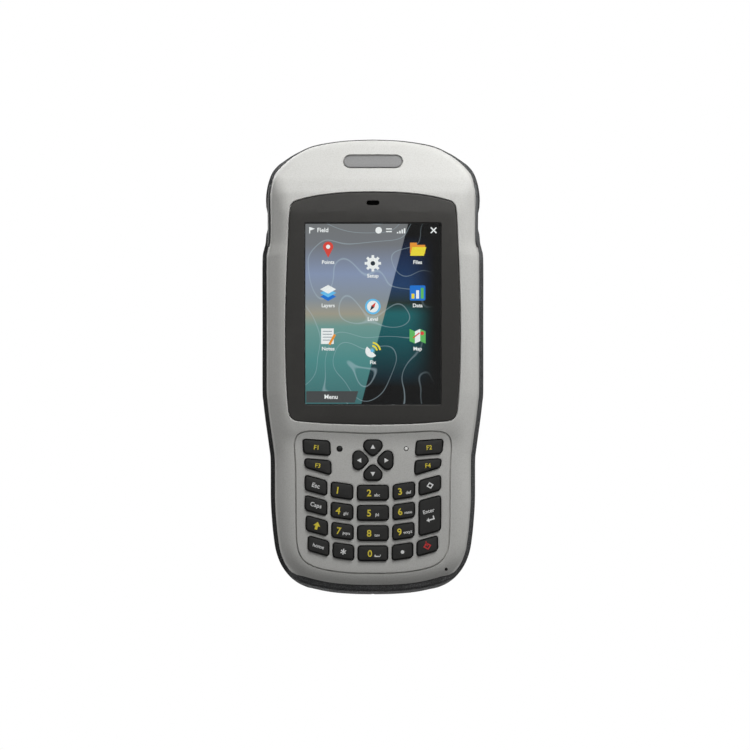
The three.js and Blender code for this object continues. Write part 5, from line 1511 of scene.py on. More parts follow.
@dataclass
class Screen:
    """The bezel, the touch glass, the lit display behind it, the earpiece and the badge over it."""

    form: CaseForm
    gap: float = 0.3
    bezel_sink: float = 0.2
    bezel_thickness: float = 1.5
    width: float = 56.2
    height: float = 74.8
    middle: float = 20.8
    margin: float = 1.5
    earpiece: Triple = (5.3, 2.0, 66.4)
    earpiece_foot: float = 4.9
    cloth_levels: Pair = (4.2, 4.6)
    badge: Triple = (24.2, 5.4, 84.1)
    badge_sink: float = 0.1
    badge_thickness: float = 0.8
    lcd_front: float = 3.4
    bezel_shares: Shares = (
        (0, 0.754), (0.25, 0.751), (0.5, 0.738), (0.69, 0.717), (0.745, 0.702), (0.765, 0.67), (0.779, 0.55),
        (0.795, 0.36), (0.804, 0.16), (0.798, -0.04), (0.778, -0.19), (0.76, -0.226), (0.715, -0.244),
        (0.6, -0.2505), (0.36, -0.258), (0, -0.262),
    )

    def bezel_outline(self) -> Array:
        """The bezel's outer edge: an even curve through its points, mirrored."""
        half = spline(scaled(self.bezel_shares, self.form.half_width, self.form.half_length), 240)
        return resampled(anticlockwise(doubled(half)), 420)

    def window_outline(self, growth: float = 0.0) -> Array:
        """The display's opening."""
        return round_rectangle(self.width + 2 * growth, self.height + 2 * growth, 0, self.middle, 0.7, 3)

    def cutters(self) -> list[Solid]:
        """What the front housing loses for the screen, the earpiece and the badge."""
        gap, form = self.gap, self.form
        depth = self.bezel_sink + self.bezel_thickness + gap
        rim = [(gap + 0.42, -2), (gap + 0.42, -0.05), (gap + 0.16, 0.12), (gap, 0.4)]
        width, height, middle = self.badge
        foot = self.badge_sink + self.badge_thickness + gap
        recess = [(0.45, -2), (0.45, -0.05), (0.3, 0.15), (0.3, foot)]
        return [
            form.sleeve(FRONT, self.bezel_outline(), [*rim, (gap, depth)]),
            bar(FRONT, self.window_outline(self.margin + gap), BEFORE, self.lcd_front),
            form.sleeve(FRONT, pill(width, height, 0, middle), recess),
            bar(FRONT, pill(*self.earpiece[:2], 0, self.earpiece[2]), BEFORE, self.earpiece_foot),
        ]

    def build(self) -> None:
        """Makes the bezel, the badge and the picture, and dresses the panel and the module."""
        self._bezel()
        width, height, middle = self.badge
        foot = self.badge_sink + self.badge_thickness
        edge = [(-0.3, foot), (0, foot), (0, 0.22), (-0.12, 0.1)]
        plate = self.form.cap(FRONT, pill(width, height, 0, middle), edge, 10)
        inner = pill(width - 1.3, height - 1.3, 0, middle)
        plate = plate - self.form.groove(FRONT, inner, 0.3, 0.22)
        outline = pill(width, height, 0, middle, 60)
        # Painted shade: the badge is darkened near its outline, over half a millimetre.
        painted_shade = rim_shade(plate, outline, 0.5)
        Piece("badge_face", "case", "badge", ["badge_plate"], 30).make(plate, BADGE_METAL, painted_shade)
        dress("touch_panel", CLEAR_GLASS)
        dress("lcd_module", LCD_FRAME)
        dress("loudspeaker", SPEAKER_CLOTH)
        self._earpiece_cloth()
        Display(self).build()

    def _bezel(self) -> None:
        """The bezel: a grid between its outer edge and the display's opening, on the case's surface."""
        outer = self.bezel_outline()
        start = np.argmax(outer[:, 1] - np.abs(outer[:, 0]) * 0.001)
        outer = np.roll(outer, -start, axis=0)
        inner = resampled(self.window_outline(), 1680)
        centre = np.array([0, self.middle])
        angles = np.arctan2(*(inner - centre).T)
        order = np.argsort(angles)
        wanted = np.arctan2(*(outer - centre).T)
        opening = np.stack(
            [np.interp(wanted, angles[order], inner[order, k], period=2 * np.pi) for k in (0, 1)], axis=1
        )
        shares = np.array([0, 0, 0, 0.006, 0.03, 0.2, 0.4, 0.6, 0.8, 0.97, 0.994, 1, 1])[:, None, None]
        rear, face = self.bezel_sink + self.bezel_thickness, [self.bezel_sink] * 6
        sinks = np.array([rear, rear, 0.5, 0.3, *face, 0.3, 0.6, rear])
        plan = outer * (1 - shares) + opening * shares
        level = self.form.level(FRONT, plan) + sinks[:, None]
        rings = list(FRONT.place(plan, level))[1:]
        solid = ring_solid(rings, loop=True)
        slot = pill(*self.earpiece[:2], 0, self.earpiece[2])
        solid = solid - bar(FRONT, slot, BEFORE, self.earpiece_foot)
        Piece("bezel_frame", "case", "bezel", ["screen_bezel"], 8).make(solid, BEZEL_PAINT)

    def _earpiece_cloth(self) -> None:
        """A dark mesh strip a little way inside the earpiece's slot."""
        width, height, middle = self.earpiece
        solid = bar(FRONT, pill(width + 0.6, height + 0.6, 0, middle), *self.cloth_levels)
        Piece("earpiece_mesh", "case", "speaker").make(solid, SPEAKER_CLOTH)


class Light(Enum):
    """Colours of the lit signs."""

    WHITE = 0xFAFBFA
    GREY = 0x9AA2AA
    ORANGE = 0xF29A36
    YELLOW = 0xF6E23C
    SKY = 0x6CC4F4
    BLUE = 0x1B76D6
    GREEN = 0x64BE62
    RED = 0xE2483C
    INK = 0x26323C


@dataclass
class Display:
    """A plain field-survey picture: a contour map under staggered signs, each with its word."""

    screen: Screen
    front: float = 3.36
    lift: float = 0.025
    columns: Numbers = (-18.4, 0.0, 18.4)
    rows: Numbers = (47.2, 29.4, 11.6)
    drop: float = -5.6
    plates: dict[tuple[Light, int], list[Array]] = field(default_factory=dict)

    def build(self) -> None:
        """Makes the background, the bars, the signs and their words."""
        width, height, middle = self.screen.width, self.screen.height, self.screen.middle
        low, high = middle - height / 2, middle + height / 2
        picture = MapFinish("map_light", (low - ORIGIN[2]) * MM, height * MM)
        self._slab("map_picture", [rectangle(width - 0.7, height - 0.7, 0, middle)], 0, picture)
        foot = np.array([[-27.4, low + 0.9], [-7.4, low + 0.9], [-6.0, low + 5.6], [-27.4, low + 5.6]])
        self._slab("foot_bar", [foot], 1, PrintFinish("bar_light", 0x47494A, 1.0))
        self._status(high)
        words = [("Menu", -17.2, low + 3.2, 2.5), ("Field", -20.6, high - 3.0, 2.5)]
        for number, (word, plates) in enumerate(self._signs().items()):
            row, column = divmod(number, len(self.columns))
            x, l = self.columns[column], self.rows[row] + (self.drop if column == 1 else 0)
            for light, layer, *outlines in plates:
                self._put(light, layer, (x, l), *outlines)
            words.append((word, x, l - 5.2, 2.1))
        for (light, layer), plates in self.plates.items():
            self._slab(f"lit_{light.name.lower()}_{layer}", plates, layer, self._lit(light))
        solids = []
        for word, x, l, size in words:
            solid = lettering(word, size, self.lift / 2, 0.05)
            flat = solid.points()
            level = self.front - 8 * self.lift - flat[:, 2]
            solids.append(solid.moved_to(FRONT.place(flat[:, :2] + [x, l], level)))
        Piece("display_words", "case", "display").make(group(solids), self._lit(Light.WHITE))

    def _lit(self, light: Light) -> PrintFinish:
        """The finish of one lit colour."""
        return PrintFinish(f"light_{light.name.lower()}", light.value, 1.0)

    def _slab(self, name: str, outlines: Sequence[Array], layer: int, finish: Surface) -> None:
        """Thin plates of one colour, a layer's lift in front of the module."""
        rear = self.front - layer * self.lift * 2
        solids = [bar(FRONT, anticlockwise(outline), rear - self.lift, rear) for outline in outlines]
        Piece(name, "case", "display").make(group(solids), finish)

    def _put(self, light: Light, layer: int, middle: Pair, *outlines: Array) -> None:
        """Keeps plates of one colour for a layer, moved to a sign's middle."""
        self.plates.setdefault((light, layer), []).extend(outline + middle for outline in outlines)

    def _signs(self) -> dict[str, list[tuple]]:
        """The signs by their words, row by row: each plate's colour, layer and outlines about the middle."""
        white, grey, orange, yellow, sky, blue, green, red, dark = Light
        teeth = [rectangle(1.1, 1.3, 0, 2.7) @ turned(k * math.pi / 4) for k in range(8)]
        wheel = circle(2.4, 0, 0, 28)
        sheet = np.array([(-3.3, 0), (0, -1.8), (3.3, 0), (0, 1.8)])
        needle = np.array([(-0.7, 0), (0.7, 0), (0, 2.1)])
        bars = ((-1.9, 2.0, yellow), (0.0, 3.4, white), (1.9, 4.4, green))
        lines = [rectangle(3.8, 0.35, -0.3, 2.0 - 1.2 * k) for k in range(4)]
        arc, half = np.linspace(0.15, 1.42, 12), np.linspace(0.75 * np.pi, 1.75 * np.pi, 20)
        ring = np.stack([np.cos(arc), np.sin(arc)], axis=1)
        bowl = np.stack([2.6 * np.cos(half), 2.6 * np.sin(half)], axis=1) - 0.5
        waves = [np.concatenate([ring * far, ring[::-1] * (far - 0.7)]) - 0.6 for far in (2.65, 3.95)]
        folds = ((-3.3, 0.5), (-1.1, -0.5), (1.1, 0.5), (3.3, -0.5))
        panels = []
        for (a, up), (b, down) in zip(folds, folds[1:]):
            panels.append(np.array([(a, up - 2.5), (b, down - 2.5), (b, down + 2.5), (a, up + 2.5)]))
        return {
            "Points": [
                (red, 2, circle(2.1, 0, 1.2, 24)), (red, 1, np.array([(-1.8, 0.3), (0, -3.3), (1.8, 0.3)])),
                (white, 3, circle(0.85, 0, 1.2, 20)),
            ],
            "Setup": [(white, 1, *teeth), (white, 2, wheel), (dark, 3, circle(0.95, 0, 0, 20))],
            "Files": [
                (orange, 1, rectangle(2.8, 1.4, -1.7, 2.2), rectangle(6.2, 3.6, 0, 0.2)),
                (yellow, 2, np.array([(-3.1, -2.5), (2.6, -2.5), (3.6, 1.1), (-2.1, 1.1)])),
            ],
            "Layers": [(blue, 1, sheet - [0, 1.5]), (sky, 2, sheet), (white, 3, sheet + [0, 1.5])],
            "Level": [
                (sky, 1, circle(3.2, 0, 0, 32)), (white, 2, wheel),
                (red, 3, needle @ turned(-0.6)), (dark, 3, -needle @ turned(-0.6)),
            ],
            "Data": [
                (blue, 1, round_rectangle(6.4, 6.2, 0, 0, 0.6, 3)),
                *[(light, 2, rectangle(1.2, tall, x, -2.3 + tall / 2)) for x, tall, light in bars],
            ],
            "Notes": [
                (white, 1, rectangle(5.2, 6.4, -0.3, 0)), (grey, 2, *lines),
                (orange, 3, rectangle(1.0, 4.8, 2.1, -0.4) @ turned(-0.5)),
            ],
            "Fix": [(yellow, 1, *waves), (white, 2, bowl), (sky, 3, circle(0.7, -0.3, -0.3, 16))],
            "Map": [
                *[(light, 1, panel) for light, panel in zip((green, white, green), panels)],
                (red, 2, rectangle(0.5, 3.4, -0.6, -0.2) @ turned(-0.9), circle(0.8, 1.9, 1.2, 16)),
            ],
        }

    def _status(self, high: float) -> None:
        """Small signs in the strip at the top: a flag, a link, bars and a cross."""
        line = high - 3.0
        flag = [rectangle(0.4, 2.6, -0.7, 0), np.array([(-0.5, -0.1), (1.5, 0.6), (-0.5, 1.3)])]
        link = [circle(1.35, 0, 0, 24), *[rectangle(2.4, 0.45, 4.2, rise) for rise in (0.55, -0.55)]]
        bars = [rectangle(0.6, 0.6 + 0.5 * k, 9.6 + 0.95 * k, -1.0 + 0.25 * k) for k in range(4)]
        cross = [rectangle(3.2, 0.5, 0, 0) @ turned(way * math.pi / 4) for way in (1, -1)]
        for x, layer, outlines in (
            (-25.3, 1, flag), (2.4, 1, link), (0.6, 1, bars), (25.0, 1, cross[:1]), (25.0, 2, cross[1:]),
        ):
            self._put(Light.WHITE, layer, (x, line), *outlines)


class Ink(Enum):
    """Colour of a key's print."""

    YELLOW = "yellow"
    WHITE = "white"
    RED = "red"


@dataclass(frozen=True)
class Mark:
    """A word on a key: its text, ink, height and place from the key's middle."""

    text: str
    ink: Ink
    size: float
    x: float = 0.0
    l: float = 0.0


@dataclass
class Keypad:
    """The keys, their print, the keypad's groove, the two lights and the microphone's hole."""

    form: CaseForm
    gap: float = 0.3
    wall_front: float = 1.85
    top: float = 0.95
    flange_front: float = 4.95
    rear: float = 5.9
    flange: float = 0.5
    corner: float = 1.35
    crown: float = 0.16
    height: float = 5.9
    pitch: float = 8.3
    first_row: float = -50.05
    row_rise: float = 4.45
    reach: float = 27.8
    arrow_middle: float = -39.4
    pulls: Numbers = (1.0, 1.0, 0.985, 0.955)
    middle_column: Pair = (-6.35, 6.35)
    inner_column: Pair = (8.3, 17.1)
    outer_column: Pair = (19.0, 27.8)
    light_across: float = 13.7
    light_height: float = -34.7
    lens_edge: Levels = ((0, 1.945), (0, 1.9))
    lens_crown: float = 0.22
    microphone: Pair = (30.2, -84.3)
    microphone_depth: float = 3.2
    microphone_radius: float = 0.65
    groove_width: float = 0.85
    groove_depth: float = 0.9
    f1_shares: Shares = ((-1.036, -1.111), (-0.644, -1.137), (-0.629, -1.345), (-1.018, -1.313))
    f3_shares: Shares = ((-1.007, -1.396), (-0.626, -1.428), (-0.619, -1.633), (-1.0, -1.518))
    arrow_shares: Shares = (
        (-0.09, 0.295), (0.09, 0.295), (0.135, 0.25), (0.135, 0.178), (0.03, 0.072), (-0.03, 0.072),
        (-0.135, 0.178), (-0.135, 0.25),
    )
    groove_shares: Shares = (
        (1.029, -0.978), (0, -1.025), (-1.029, -0.978), (-1.173, -1.094), (-1.144, -1.45), (-1.133, -2.58),
        (-1.105, -2.76), (-1.045, -2.88), (-0.945, -2.96), (-0.82, -3.013), (-0.6, -3.058), (-0.3, -3.09),
        (0.3, -3.09), (0.6, -3.058), (0.82, -3.013), (0.945, -2.96), (1.045, -2.88), (1.105, -2.76),
        (1.133, -2.58), (1.144, -1.45), (1.173, -1.094),
    )

    def _row(self, column: Pair, row: int, last: int | None = None) -> Array:
        """Corners of a key in a bent row."""
        last = row if last is None else last
        a, b = column
        pull = self.pulls[row]

        def line(index: int, x: float) -> float:
            """Height of a row's top line, which rises towards the sides."""
            return self.first_row - index * self.pitch + self.row_rise * (x / self.reach) ** 2

        return np.array([
            (a * pull, line(row, a)), (a * pull, line(last, a) - self.height),
            (b * pull, line(last, b) - self.height), (b * pull, line(row, b)),
        ])

    def _arrow(self, turns: int) -> Array:
        """Corners of an arrow key, turned by quarters about the cluster's middle."""
        plan = scaled(self.arrow_shares, self.reach, self.reach) @ turned(turns * math.pi / 2)
        return plan + [0, self.arrow_middle]

    def plan(self) -> dict[str, Array]:
        """Each key's corners by name."""
        left = lambda column: (-column[1], -column[0])
        mid, inner, outer = self.middle_column, self.inner_column, self.outer_column
        f1, f3 = (scaled(s, self.reach, self.reach) for s in (self.f1_shares, self.f3_shares))
        keys = {"key_f1": f1, "key_f2": mirrored(f1), "key_f3": f3, "key_f4": mirrored(f3)}
        for turns, name in enumerate(("key_up", "key_left", "key_down", "key_right")):
            keys[name] = self._arrow(turns)
        for row, names in enumerate(("123", "456", "789", ("star", "0", "dot"))):
            for column, name in zip((left(inner), mid, inner), names):
                keys[f"key_{name}"] = self._row(column, row)
        for row, name in enumerate(("key_escape", "key_caps", "key_shift", "key_home")):
            keys[name] = self._row(left(outer), row)
        for name, rows in (("key_back", (0,)), ("key_enter", (1, 2)), ("key_power", (3,))):
            keys[name] = self._row(outer, *rows)
        return keys

    def outline(self, corners: Array) -> Array:
        """A key's rounded outline."""
        return resampled(soft(corners, self.corner, 6), 96)

    def cutters(self) -> list[Solid]:
        """What the front housing loses for the keys, the groove, the lights and the microphone."""
        gap, wall, holes = self.gap, self.wall_front, []
        rings = [
            (gap + 0.22, -3), (gap + 0.22, wall), (gap + 0.06, wall + 0.08), (gap, wall + 0.3),
            (gap, self.flange_front),
        ]
        for corners in self.plan().values():
            holes.append(stack(FRONT, self.outline(corners), rings))
        for side, radius in ((-1, 1.3), (1, 1.0)):
            place = circle(radius, side * self.light_across, self.light_height, 32)
            holes.append(bar(FRONT, place, -3, 5))
        place = circle(self.microphone_radius, *self.microphone, 20)
        foot = self.form.level(FRONT, place).max() + self.microphone_depth
        holes.append(bar(FRONT, place, -3, foot))
        path = resampled(soft(scaled(self.groove_shares, self.reach, self.reach), 5), 420)
        return [group(holes), self.form.groove(FRONT, path, self.groove_width, self.groove_depth)]

    def build(self) -> None:
        """Makes the caps, their print and the lights, and dresses the mat and the light pipes."""
        for name, corners in self.plan().items():
            self._cap(name, corners)
        self._print()
        dress("keypad_mat", MAT_RUBBER)
        dress("light_pipes", CLEAR_PIPE)
        for side, radius, finish, name in (
            (-1, 0.95, PrintFinish("lens_dark", 0x161616), "light_left"),
            (1, 0.68, PrintFinish("lens_white", 0xFAFAF6), "light_right"),
        ):
            plan = circle(radius, side * self.light_across, self.light_height, 28)
            lens = button(plan, self.lens_edge, self.lens_crown, 7)
            Piece(name, "case", "light_lens").make(lens, finish)

    def _cap(self, name: str, corners: Array) -> None:
        """A key: flange, straight flank, rounded shoulder and a slightly crowned top."""
        outline = self.outline(corners)
        top = self.top
        edge = [
            (self.flange, self.rear), (self.flange, self.flange_front), (0, self.flange_front),
            (0, top + 0.5), (-0.06, top + 0.28), (-0.18, top + 0.12), (-0.36, top + 0.03), (-0.6, top),
        ]
        solid = button(outline, edge, self.crown, 8)
        # Painted shade: each key is darkened near its outline, as its dark edge.
        painted_shade = rim_shade(solid, outline, 0.55)
        Piece(name + "_top", name + "_cap", "key_cap", [name], 44).make(solid, KEY_RUBBER, painted_shade)

    def _marks(self) -> dict[str, list[Mark]]:
        """The words printed on each key."""
        yellow, white = Ink.YELLOW, Ink.WHITE
        marks = {f"key_f{k}": [Mark(f"F{k}", yellow, 2.5)] for k in (1, 2, 3, 4)}
        words = (("key_escape", "Esc", 2.6), ("key_caps", "Caps", 2.4), ("key_home", "home", 2.1))
        marks |= {name: [Mark(word, white, size)] for name, word, size in words}
        marks["key_1"] = [Mark("1", yellow, 3.9, -1.8)]
        for digit, word in enumerate(("abc", "def", "ghi", "jkl", "mno", "pqrs", "tuv", "wxyz"), 2):
            marks[f"key_{digit}"] = [
                Mark(str(digit), yellow, 3.9, -1.55), Mark(word, white, 1.75, 1.75, -0.85),
            ]
        marks["key_0"] = [Mark("0", yellow, 3.9, -1.2)]
        marks["key_star"] = [Mark("*", white, 5.2, 0, -1.1)]
        marks["key_enter"] = [Mark("Enter", white, 2.2, 0, 2.0)]
        return marks

    def _signs(self) -> dict[str, tuple[Ink, list[Array]]]:
        """The signs printed on each key, about its middle."""
        arrow = np.array([(-0.95, -0.75), (0.95, -0.75), (0, 1.0)])
        signs: dict[str, tuple[Ink, list[Array]]] = {}
        for turns, name in enumerate(("key_up", "key_left", "key_down", "key_right")):
            signs[name] = (Ink.WHITE, [arrow @ turned(turns * math.pi / 2)])
        shift = [(-0.55, -1.5), (0.55, -1.5), (0.55, 0), (1.5, 0), (0, 1.7), (-1.5, 0), (-0.55, 0)]
        signs["key_shift"] = (Ink.YELLOW, [np.array(shift)])
        signs["key_dot"] = (Ink.WHITE, [circle(0.75, 0, -0.2, 24)])
        diamond = np.array([(-1.5, 0), (0, -1.4), (1.5, 0), (0, 1.4)])
        ring = []
        for near, far in zip(diamond, np.roll(diamond, -1, axis=0)):
            ring.append(np.array([near, far, far * 0.55, near * 0.55]))
        signs["key_back"] = (Ink.WHITE, [r + [0.1, 0] for r in ring])
        signs["key_power"] = (Ink.RED, [r * 1.15 for r in ring] + [rectangle(0.45, 2.0, 0, 1.0)])
        ends = [rectangle(0.4, 0.9, x, -0.95) for x in (0.9, 3.1)]
        signs["key_0"] = (Ink.WHITE, [rectangle(2.6, 0.4, 2.0, -1.2), *ends])
        tip = np.array([(-1.9, -1.6), (-0.7, -0.7), (-0.7, -2.5)])
        hook = [tip, rectangle(2.6, 0.5, 0.3, -1.6), rectangle(0.5, 1.6, 1.35, -1.05)]
        signs["key_enter"] = (Ink.WHITE, hook)
        return signs

    def _print(self) -> None:
        """Puts each key's words and signs on its top."""
        inks = {Ink.YELLOW: YELLOW_INK, Ink.WHITE: WHITE_INK, Ink.RED: RED_INK}
        front = self.top - self.crown - 0.02
        marks, signs = self._marks(), self._signs()
        for name, corners in self.plan().items():
            middle = anticlockwise(corners).mean(axis=0)
            tilt = self._tilt(corners)
            by_ink: dict[Ink, list[Solid]] = {}
            for mark in marks.get(name, []):
                by_ink.setdefault(mark.ink, []).append(self._word(mark, middle, tilt, front))
            if name in signs:
                ink, outlines = signs[name]
                for k, outline in enumerate(outlines):
                    plan = anticlockwise(outline) @ turned(tilt) + middle
                    plate = bar(FRONT, plan, front - 0.012 * (k % 2), front + 0.12)
                    by_ink.setdefault(ink, []).append(plate)
            for ink, solids in by_ink.items():
                piece = Piece(f"{name}_{ink.value}", name + "_cap", "key_cap", smooth=20)
                piece.make(group(solids), inks[ink])

    def _tilt(self, corners: Array) -> float:
        """Slope of a key's top edge, which its print follows; arrow keys have none."""
        if len(corners) > 4:
            return 0.0
        order = corners[np.argsort(corners[:, 1])[-2:]]
        a, b = order[np.argsort(order[:, 0])]
        return math.atan2(b[1] - a[1], b[0] - a[0])

    def _word(self, mark: Mark, middle: Array, tilt: float, front: float) -> Solid:
        """A word as a thin closed print, centred on its place."""
        solid = lettering(mark.text, mark.size, 0.06, 0.02 * mark.size - 0.01)
        flat = solid.points()
        if mark.text != "*":
            flat[:, 1] -= (flat[:, 1].max() + flat[:, 1].min()) / 2
        plan = (flat[:, :2] + [mark.x, mark.l]) @ turned(tilt) + middle
        return solid.moved_to(FRONT.place(plan, front + 0.06 - flat[:, 2]))


@dataclass
class Back:
    """The battery door and its latch, the hand strap's points, the screws' pockets and the camera."""

    form: CaseForm
    gap: float = 0.3
    door_width: float = 59.0
    door_length: float = 88.0
    door_middle: float = -24.0
    door_thickness: float = 1.8
    door_corner: float = 4.0
    ledge: float = 1.9
    border: float = 1.8
    bay_width: float = 53.0
    bay_length: float = 80.0
    bay_front: float = 18.8
    bay_wall: float = 1.6
    latch_width: float = 14.0
    latch_length: float = 7.0
    latch_middle: float = 9.5
    latch_slot: Numbers = (14.6, 10.6, 0.0, 8.0)
    latch_foot: Pair = (18.0, 10.0)
    latch_foot_depth: float = 1.2
    door_border: Pair = (52.0, 81.0)
    camera: Pair = (20.0, 37.2)
    hood_base: float = 14.8
    hood_top: float = 11.85
    hood_rise: float = 2.3
    hood_foot: float = 2.8
    hood_heights: Triple = (-88.6, -81.2, -78.4)
    pad: Numbers = (29.6, 60.0, 0.0, -100.2)
    pad_front: float = 28.2
    ports_wall: Numbers = (51.6, 15.0, 0.0, 19.5)
    ports_top: float = -85.6
    block_width: float = 30.0
    block_length: float = 72.2
    strap_slot: Numbers = (23.0, 74.0, 0.0, 33.4)
    strap_levels: Pair = (34.0, 40.6)
    rod: Triple = (1.5, 37.6, 67.4)
    rod_half: float = 14.3
    mouth: Shares = ((-13, 30.2), (13, 30.2), (10.65, 33.2), (-10.65, 33.2))
    mouth_top: float = -82.0
    throat: Shares = ((-12.8, 30.4), (12.8, 30.4), (11.4, 32.1), (-11.4, 32.1))
    throat_top: float = -71.5
    barrel_radius: float = 6.0
    barrel_front: float = 22.0
    pocket_radius: float = 3.2
    pocket_out: float = 0.4
    screws: Sequence[Triple] = (
        (38.9, 35.4, 26.0), (38.4, -17.2, 26.0), (34.35, -70.6, 26.0), (31.5, 81.4, 33.0),
    )

    def door_outline(self) -> Array:
        """The door's outline from behind."""
        plate = round_rectangle(self.door_width, self.door_length, 0, self.door_middle, self.door_corner, 8)
        return resampled(plate, 300)

    def additions(self) -> list[Solid]:
        """What the rear shell gains: the battery bay, the door's frame, the strap's block and its hood."""
        body, gap = self.form.body_depth, self.gap
        seat = body - self.door_thickness - gap
        solid = self.form.solid(0.0, 0.95)
        frame = grown(self.door_outline(), gap + self.border)
        frame = bar(FRONT, frame, seat - self.ledge, BEHIND) & solid
        walls = 2 * self.bay_wall
        outer = rectangle(self.bay_width + walls, self.bay_length + walls, 0, self.door_middle)
        bay = bar(FRONT, outer, self.bay_front - self.bay_wall, seat)
        block = rectangle(self.block_width, self.block_length, 0, self.block_length / 2)
        block = bar(FRONT, block, body + 0.2, self.form.depth) & solid
        ports = bar(BOTTOM, rectangle(*self.ports_wall), BELOW, self.ports_top) & solid
        return [frame, bay, block, self._hood(), ports]

    def _hood(self) -> Solid:
        """The raised bridge at the foot of the back, with softened edges."""
        body = self.form.body_depth
        rear = body + self.hood_rise
        front, base, top = body - self.hood_foot, self.hood_base, self.hood_top
        section = [(-base, front), (base, front), (base, body), (top, rear), (-top, rear), (-base, body)]
        low, high, end = self.hood_heights
        profile = [(front, low), (rear, low), (rear, high), (body, end), (front, end)]
        across = bar(RIGHT, soft(profile, 1.1, 6), -2 * base, 2 * base)
        bridge = bar(BOTTOM, soft(section, 1.4, 6), BELOW, end + base) & across
        pad = bar(FRONT, rectangle(*self.pad), self.pad_front, body) & self.form.solid(0.0, 0.95)
        return bridge + pad

    def cutters(self) -> list[Solid]:
        """What the rear housing loses."""
        body, gap = self.form.body_depth, self.gap
        seat = body - self.door_thickness - gap
        wide = gap + 0.35
        rim = [(wide, BEHIND), (wide, body), (gap + 0.1, body - 0.1), (gap, body - 0.35), (gap, seat)]
        recess = stack(REAR, self.door_outline(), rim)
        room = round_rectangle(self.bay_width, self.bay_length, 0, self.door_middle, 2)
        bay = bar(FRONT, room, self.bay_front, BEHIND)
        slot = bar(FRONT, round_rectangle(*self.strap_slot, 1.6), *self.strap_levels)
        rod = bar(RIGHT, circle(*self.rod, 24), -self.rod_half, self.rod_half)
        throat = bar(BOTTOM, np.array(self.throat), self.mouth_top - 1, self.throat_top)
        trough = bar(BOTTOM, soft(self.mouth, 0.8, 4), BELOW, self.mouth_top) + throat
        barrel = bar(FRONT, circle(self.barrel_radius, *self.camera, 48), self.barrel_front, BEHIND)
        cutters = [recess, bay, slot, rod, trough, barrel]
        for x, l, seat_level in self.screws:
            for side in (-1, 1):
                pocket = circle(self.pocket_radius, side * (x + self.pocket_out), l, 36)
                top = self.form.level(REAR, grown(pocket, 0.3))
                flank = np.maximum(top - 0.35, seat_level + 0.1)
                cutters.append(stack(REAR, pocket, [(0.3, BEHIND), (0.3, top), (0, flank), (0, seat_level)]))
        return cutters

    def build(self) -> None:
        """Makes the door, its latch and the camera, and dresses what lies behind them."""
        self._door()
        self._latch()
        self._camera()
        for node, finish in (
            ("battery_pack", CELL_WRAP), ("main_board", BOARD_MASK), ("satellite_antenna", CERAMIC),
            ("strap_bar", BRUSHED_STEEL),
        ):
            dress(node, finish)
        for side in ("left", "right"):
            for place in ("upper", "middle", "lower", "hump"):
                dress(f"screw_{place}_{side}", DARK_SCREW)

    def _door(self) -> None:
        """The battery door: a softened plate with grip ribs below its latch slot."""
        body = self.form.body_depth
        front = body - self.door_thickness
        edge = [(0, front), (0, body - 0.4), (-0.1, body - 0.12), (-0.4, body)]
        solid = stack(REAR, self.door_outline(), edge)
        border = resampled(round_rectangle(*self.door_border, 0, self.door_middle, 3, 6), 240)
        foot = body - 0.35
        groove = [(0.35, BEHIND), (-0.35, BEHIND), (-0.15, foot), (0.15, foot)]
        cutters = [bar(FRONT, round_rectangle(*self.latch_slot, 0.8, 4), self.bay_front, BEHIND)]
        cutters.append(stack(REAR, border, groove, loop=True))
        for k in range(5):
            rib = pill(18 - 2.2 * k, 0.9, 0, -2.2 - 2.1 * k, 8)
            cutters.append(bar(FRONT, rib, body - 0.4, BEHIND))
        solid = solid.without(cutters)
        Piece("battery_lid", "door", "case_rear", ["battery_door"], 30).make(solid, DOOR_PLASTIC)

    def _latch(self) -> None:
        """The latch: a ribbed thumb piece on a flat flange."""
        body = self.form.body_depth
        rear = body - self.door_thickness - self.gap
        foot = round_rectangle(*self.latch_foot, 0, self.latch_middle, 0.8, 3)
        flange = bar(FRONT, foot, rear - self.latch_foot_depth, rear)
        plan = round_rectangle(self.latch_width, self.latch_length, 0, self.latch_middle, 0.9, 5)
        rings = [(0, rear - 0.3), (0, body + 0.1), (-0.12, body + 0.3), (-0.4, body + 0.4)]
        solid = flange + stack(REAR, plan, rings)
        for k in range(4):
            rib = pill(self.latch_width - 3, 0.7, 0, self.latch_middle + 2.1 - 1.4 * k, 8)
            solid = solid - bar(FRONT, rib, body + 0.05, BEHIND)
        Piece("latch_thumb", "latch", "latch", ["door_latch"], 30).make(solid, COVER_RUBBER)

    def _camera(self) -> None:
        """The camera: a turned ring with a stepped throat, and a domed lens in it."""
        body = self.form.body_depth
        ring = [
            (0.0, 24.0 - body), (5.7, 24.0 - body), (5.7, 0.32), (6.75, 0.32), (6.75, 0.95), (6.6, 1.2),
            (6.3, 1.3), (4.6, 1.3), (4.35, 1.2), (3.7, 0.75), (3.0, 0.62), (0.0, 0.6),
        ]
        piece = Piece("camera_ring", "case", "camera_trim", ["camera"], 24)
        piece.make(self._turned(ring, 64), CAMERA_PAINT)
        lens = [(0.0, 0.6), (2.9, 0.61), (2.9, 0.7), (2.2, 0.95), (1.2, 1.1), (0.0, 1.15)]
        piece = Piece("camera_lens", "case", "camera_trim", smooth=60)
        piece.make(self._turned(lens, 48), LENS_GLASS)

    def _turned(self, profile: Levels, sides: int) -> Solid:
        """A profile of radius and rise over the back, turned round the camera's axis."""
        body = self.form.body_depth
        rings = [
            REAR.place(circle(max(radius, 1e-5), *self.camera, sides), body + rise)
            for radius, rise in profile
        ]
        return grid_solid(np.array(rings))


@dataclass
class Ports:
    """The jacks and the two ports behind their covers."""

    def build(self) -> None:
        """Dresses them."""
        for jack in ("power_jack", "antenna_jack"):
            dress(jack, GOLD_CONTACT)
        for port in ("serial_port", "usb_port"):
            dress(port, BRUSHED_STEEL)


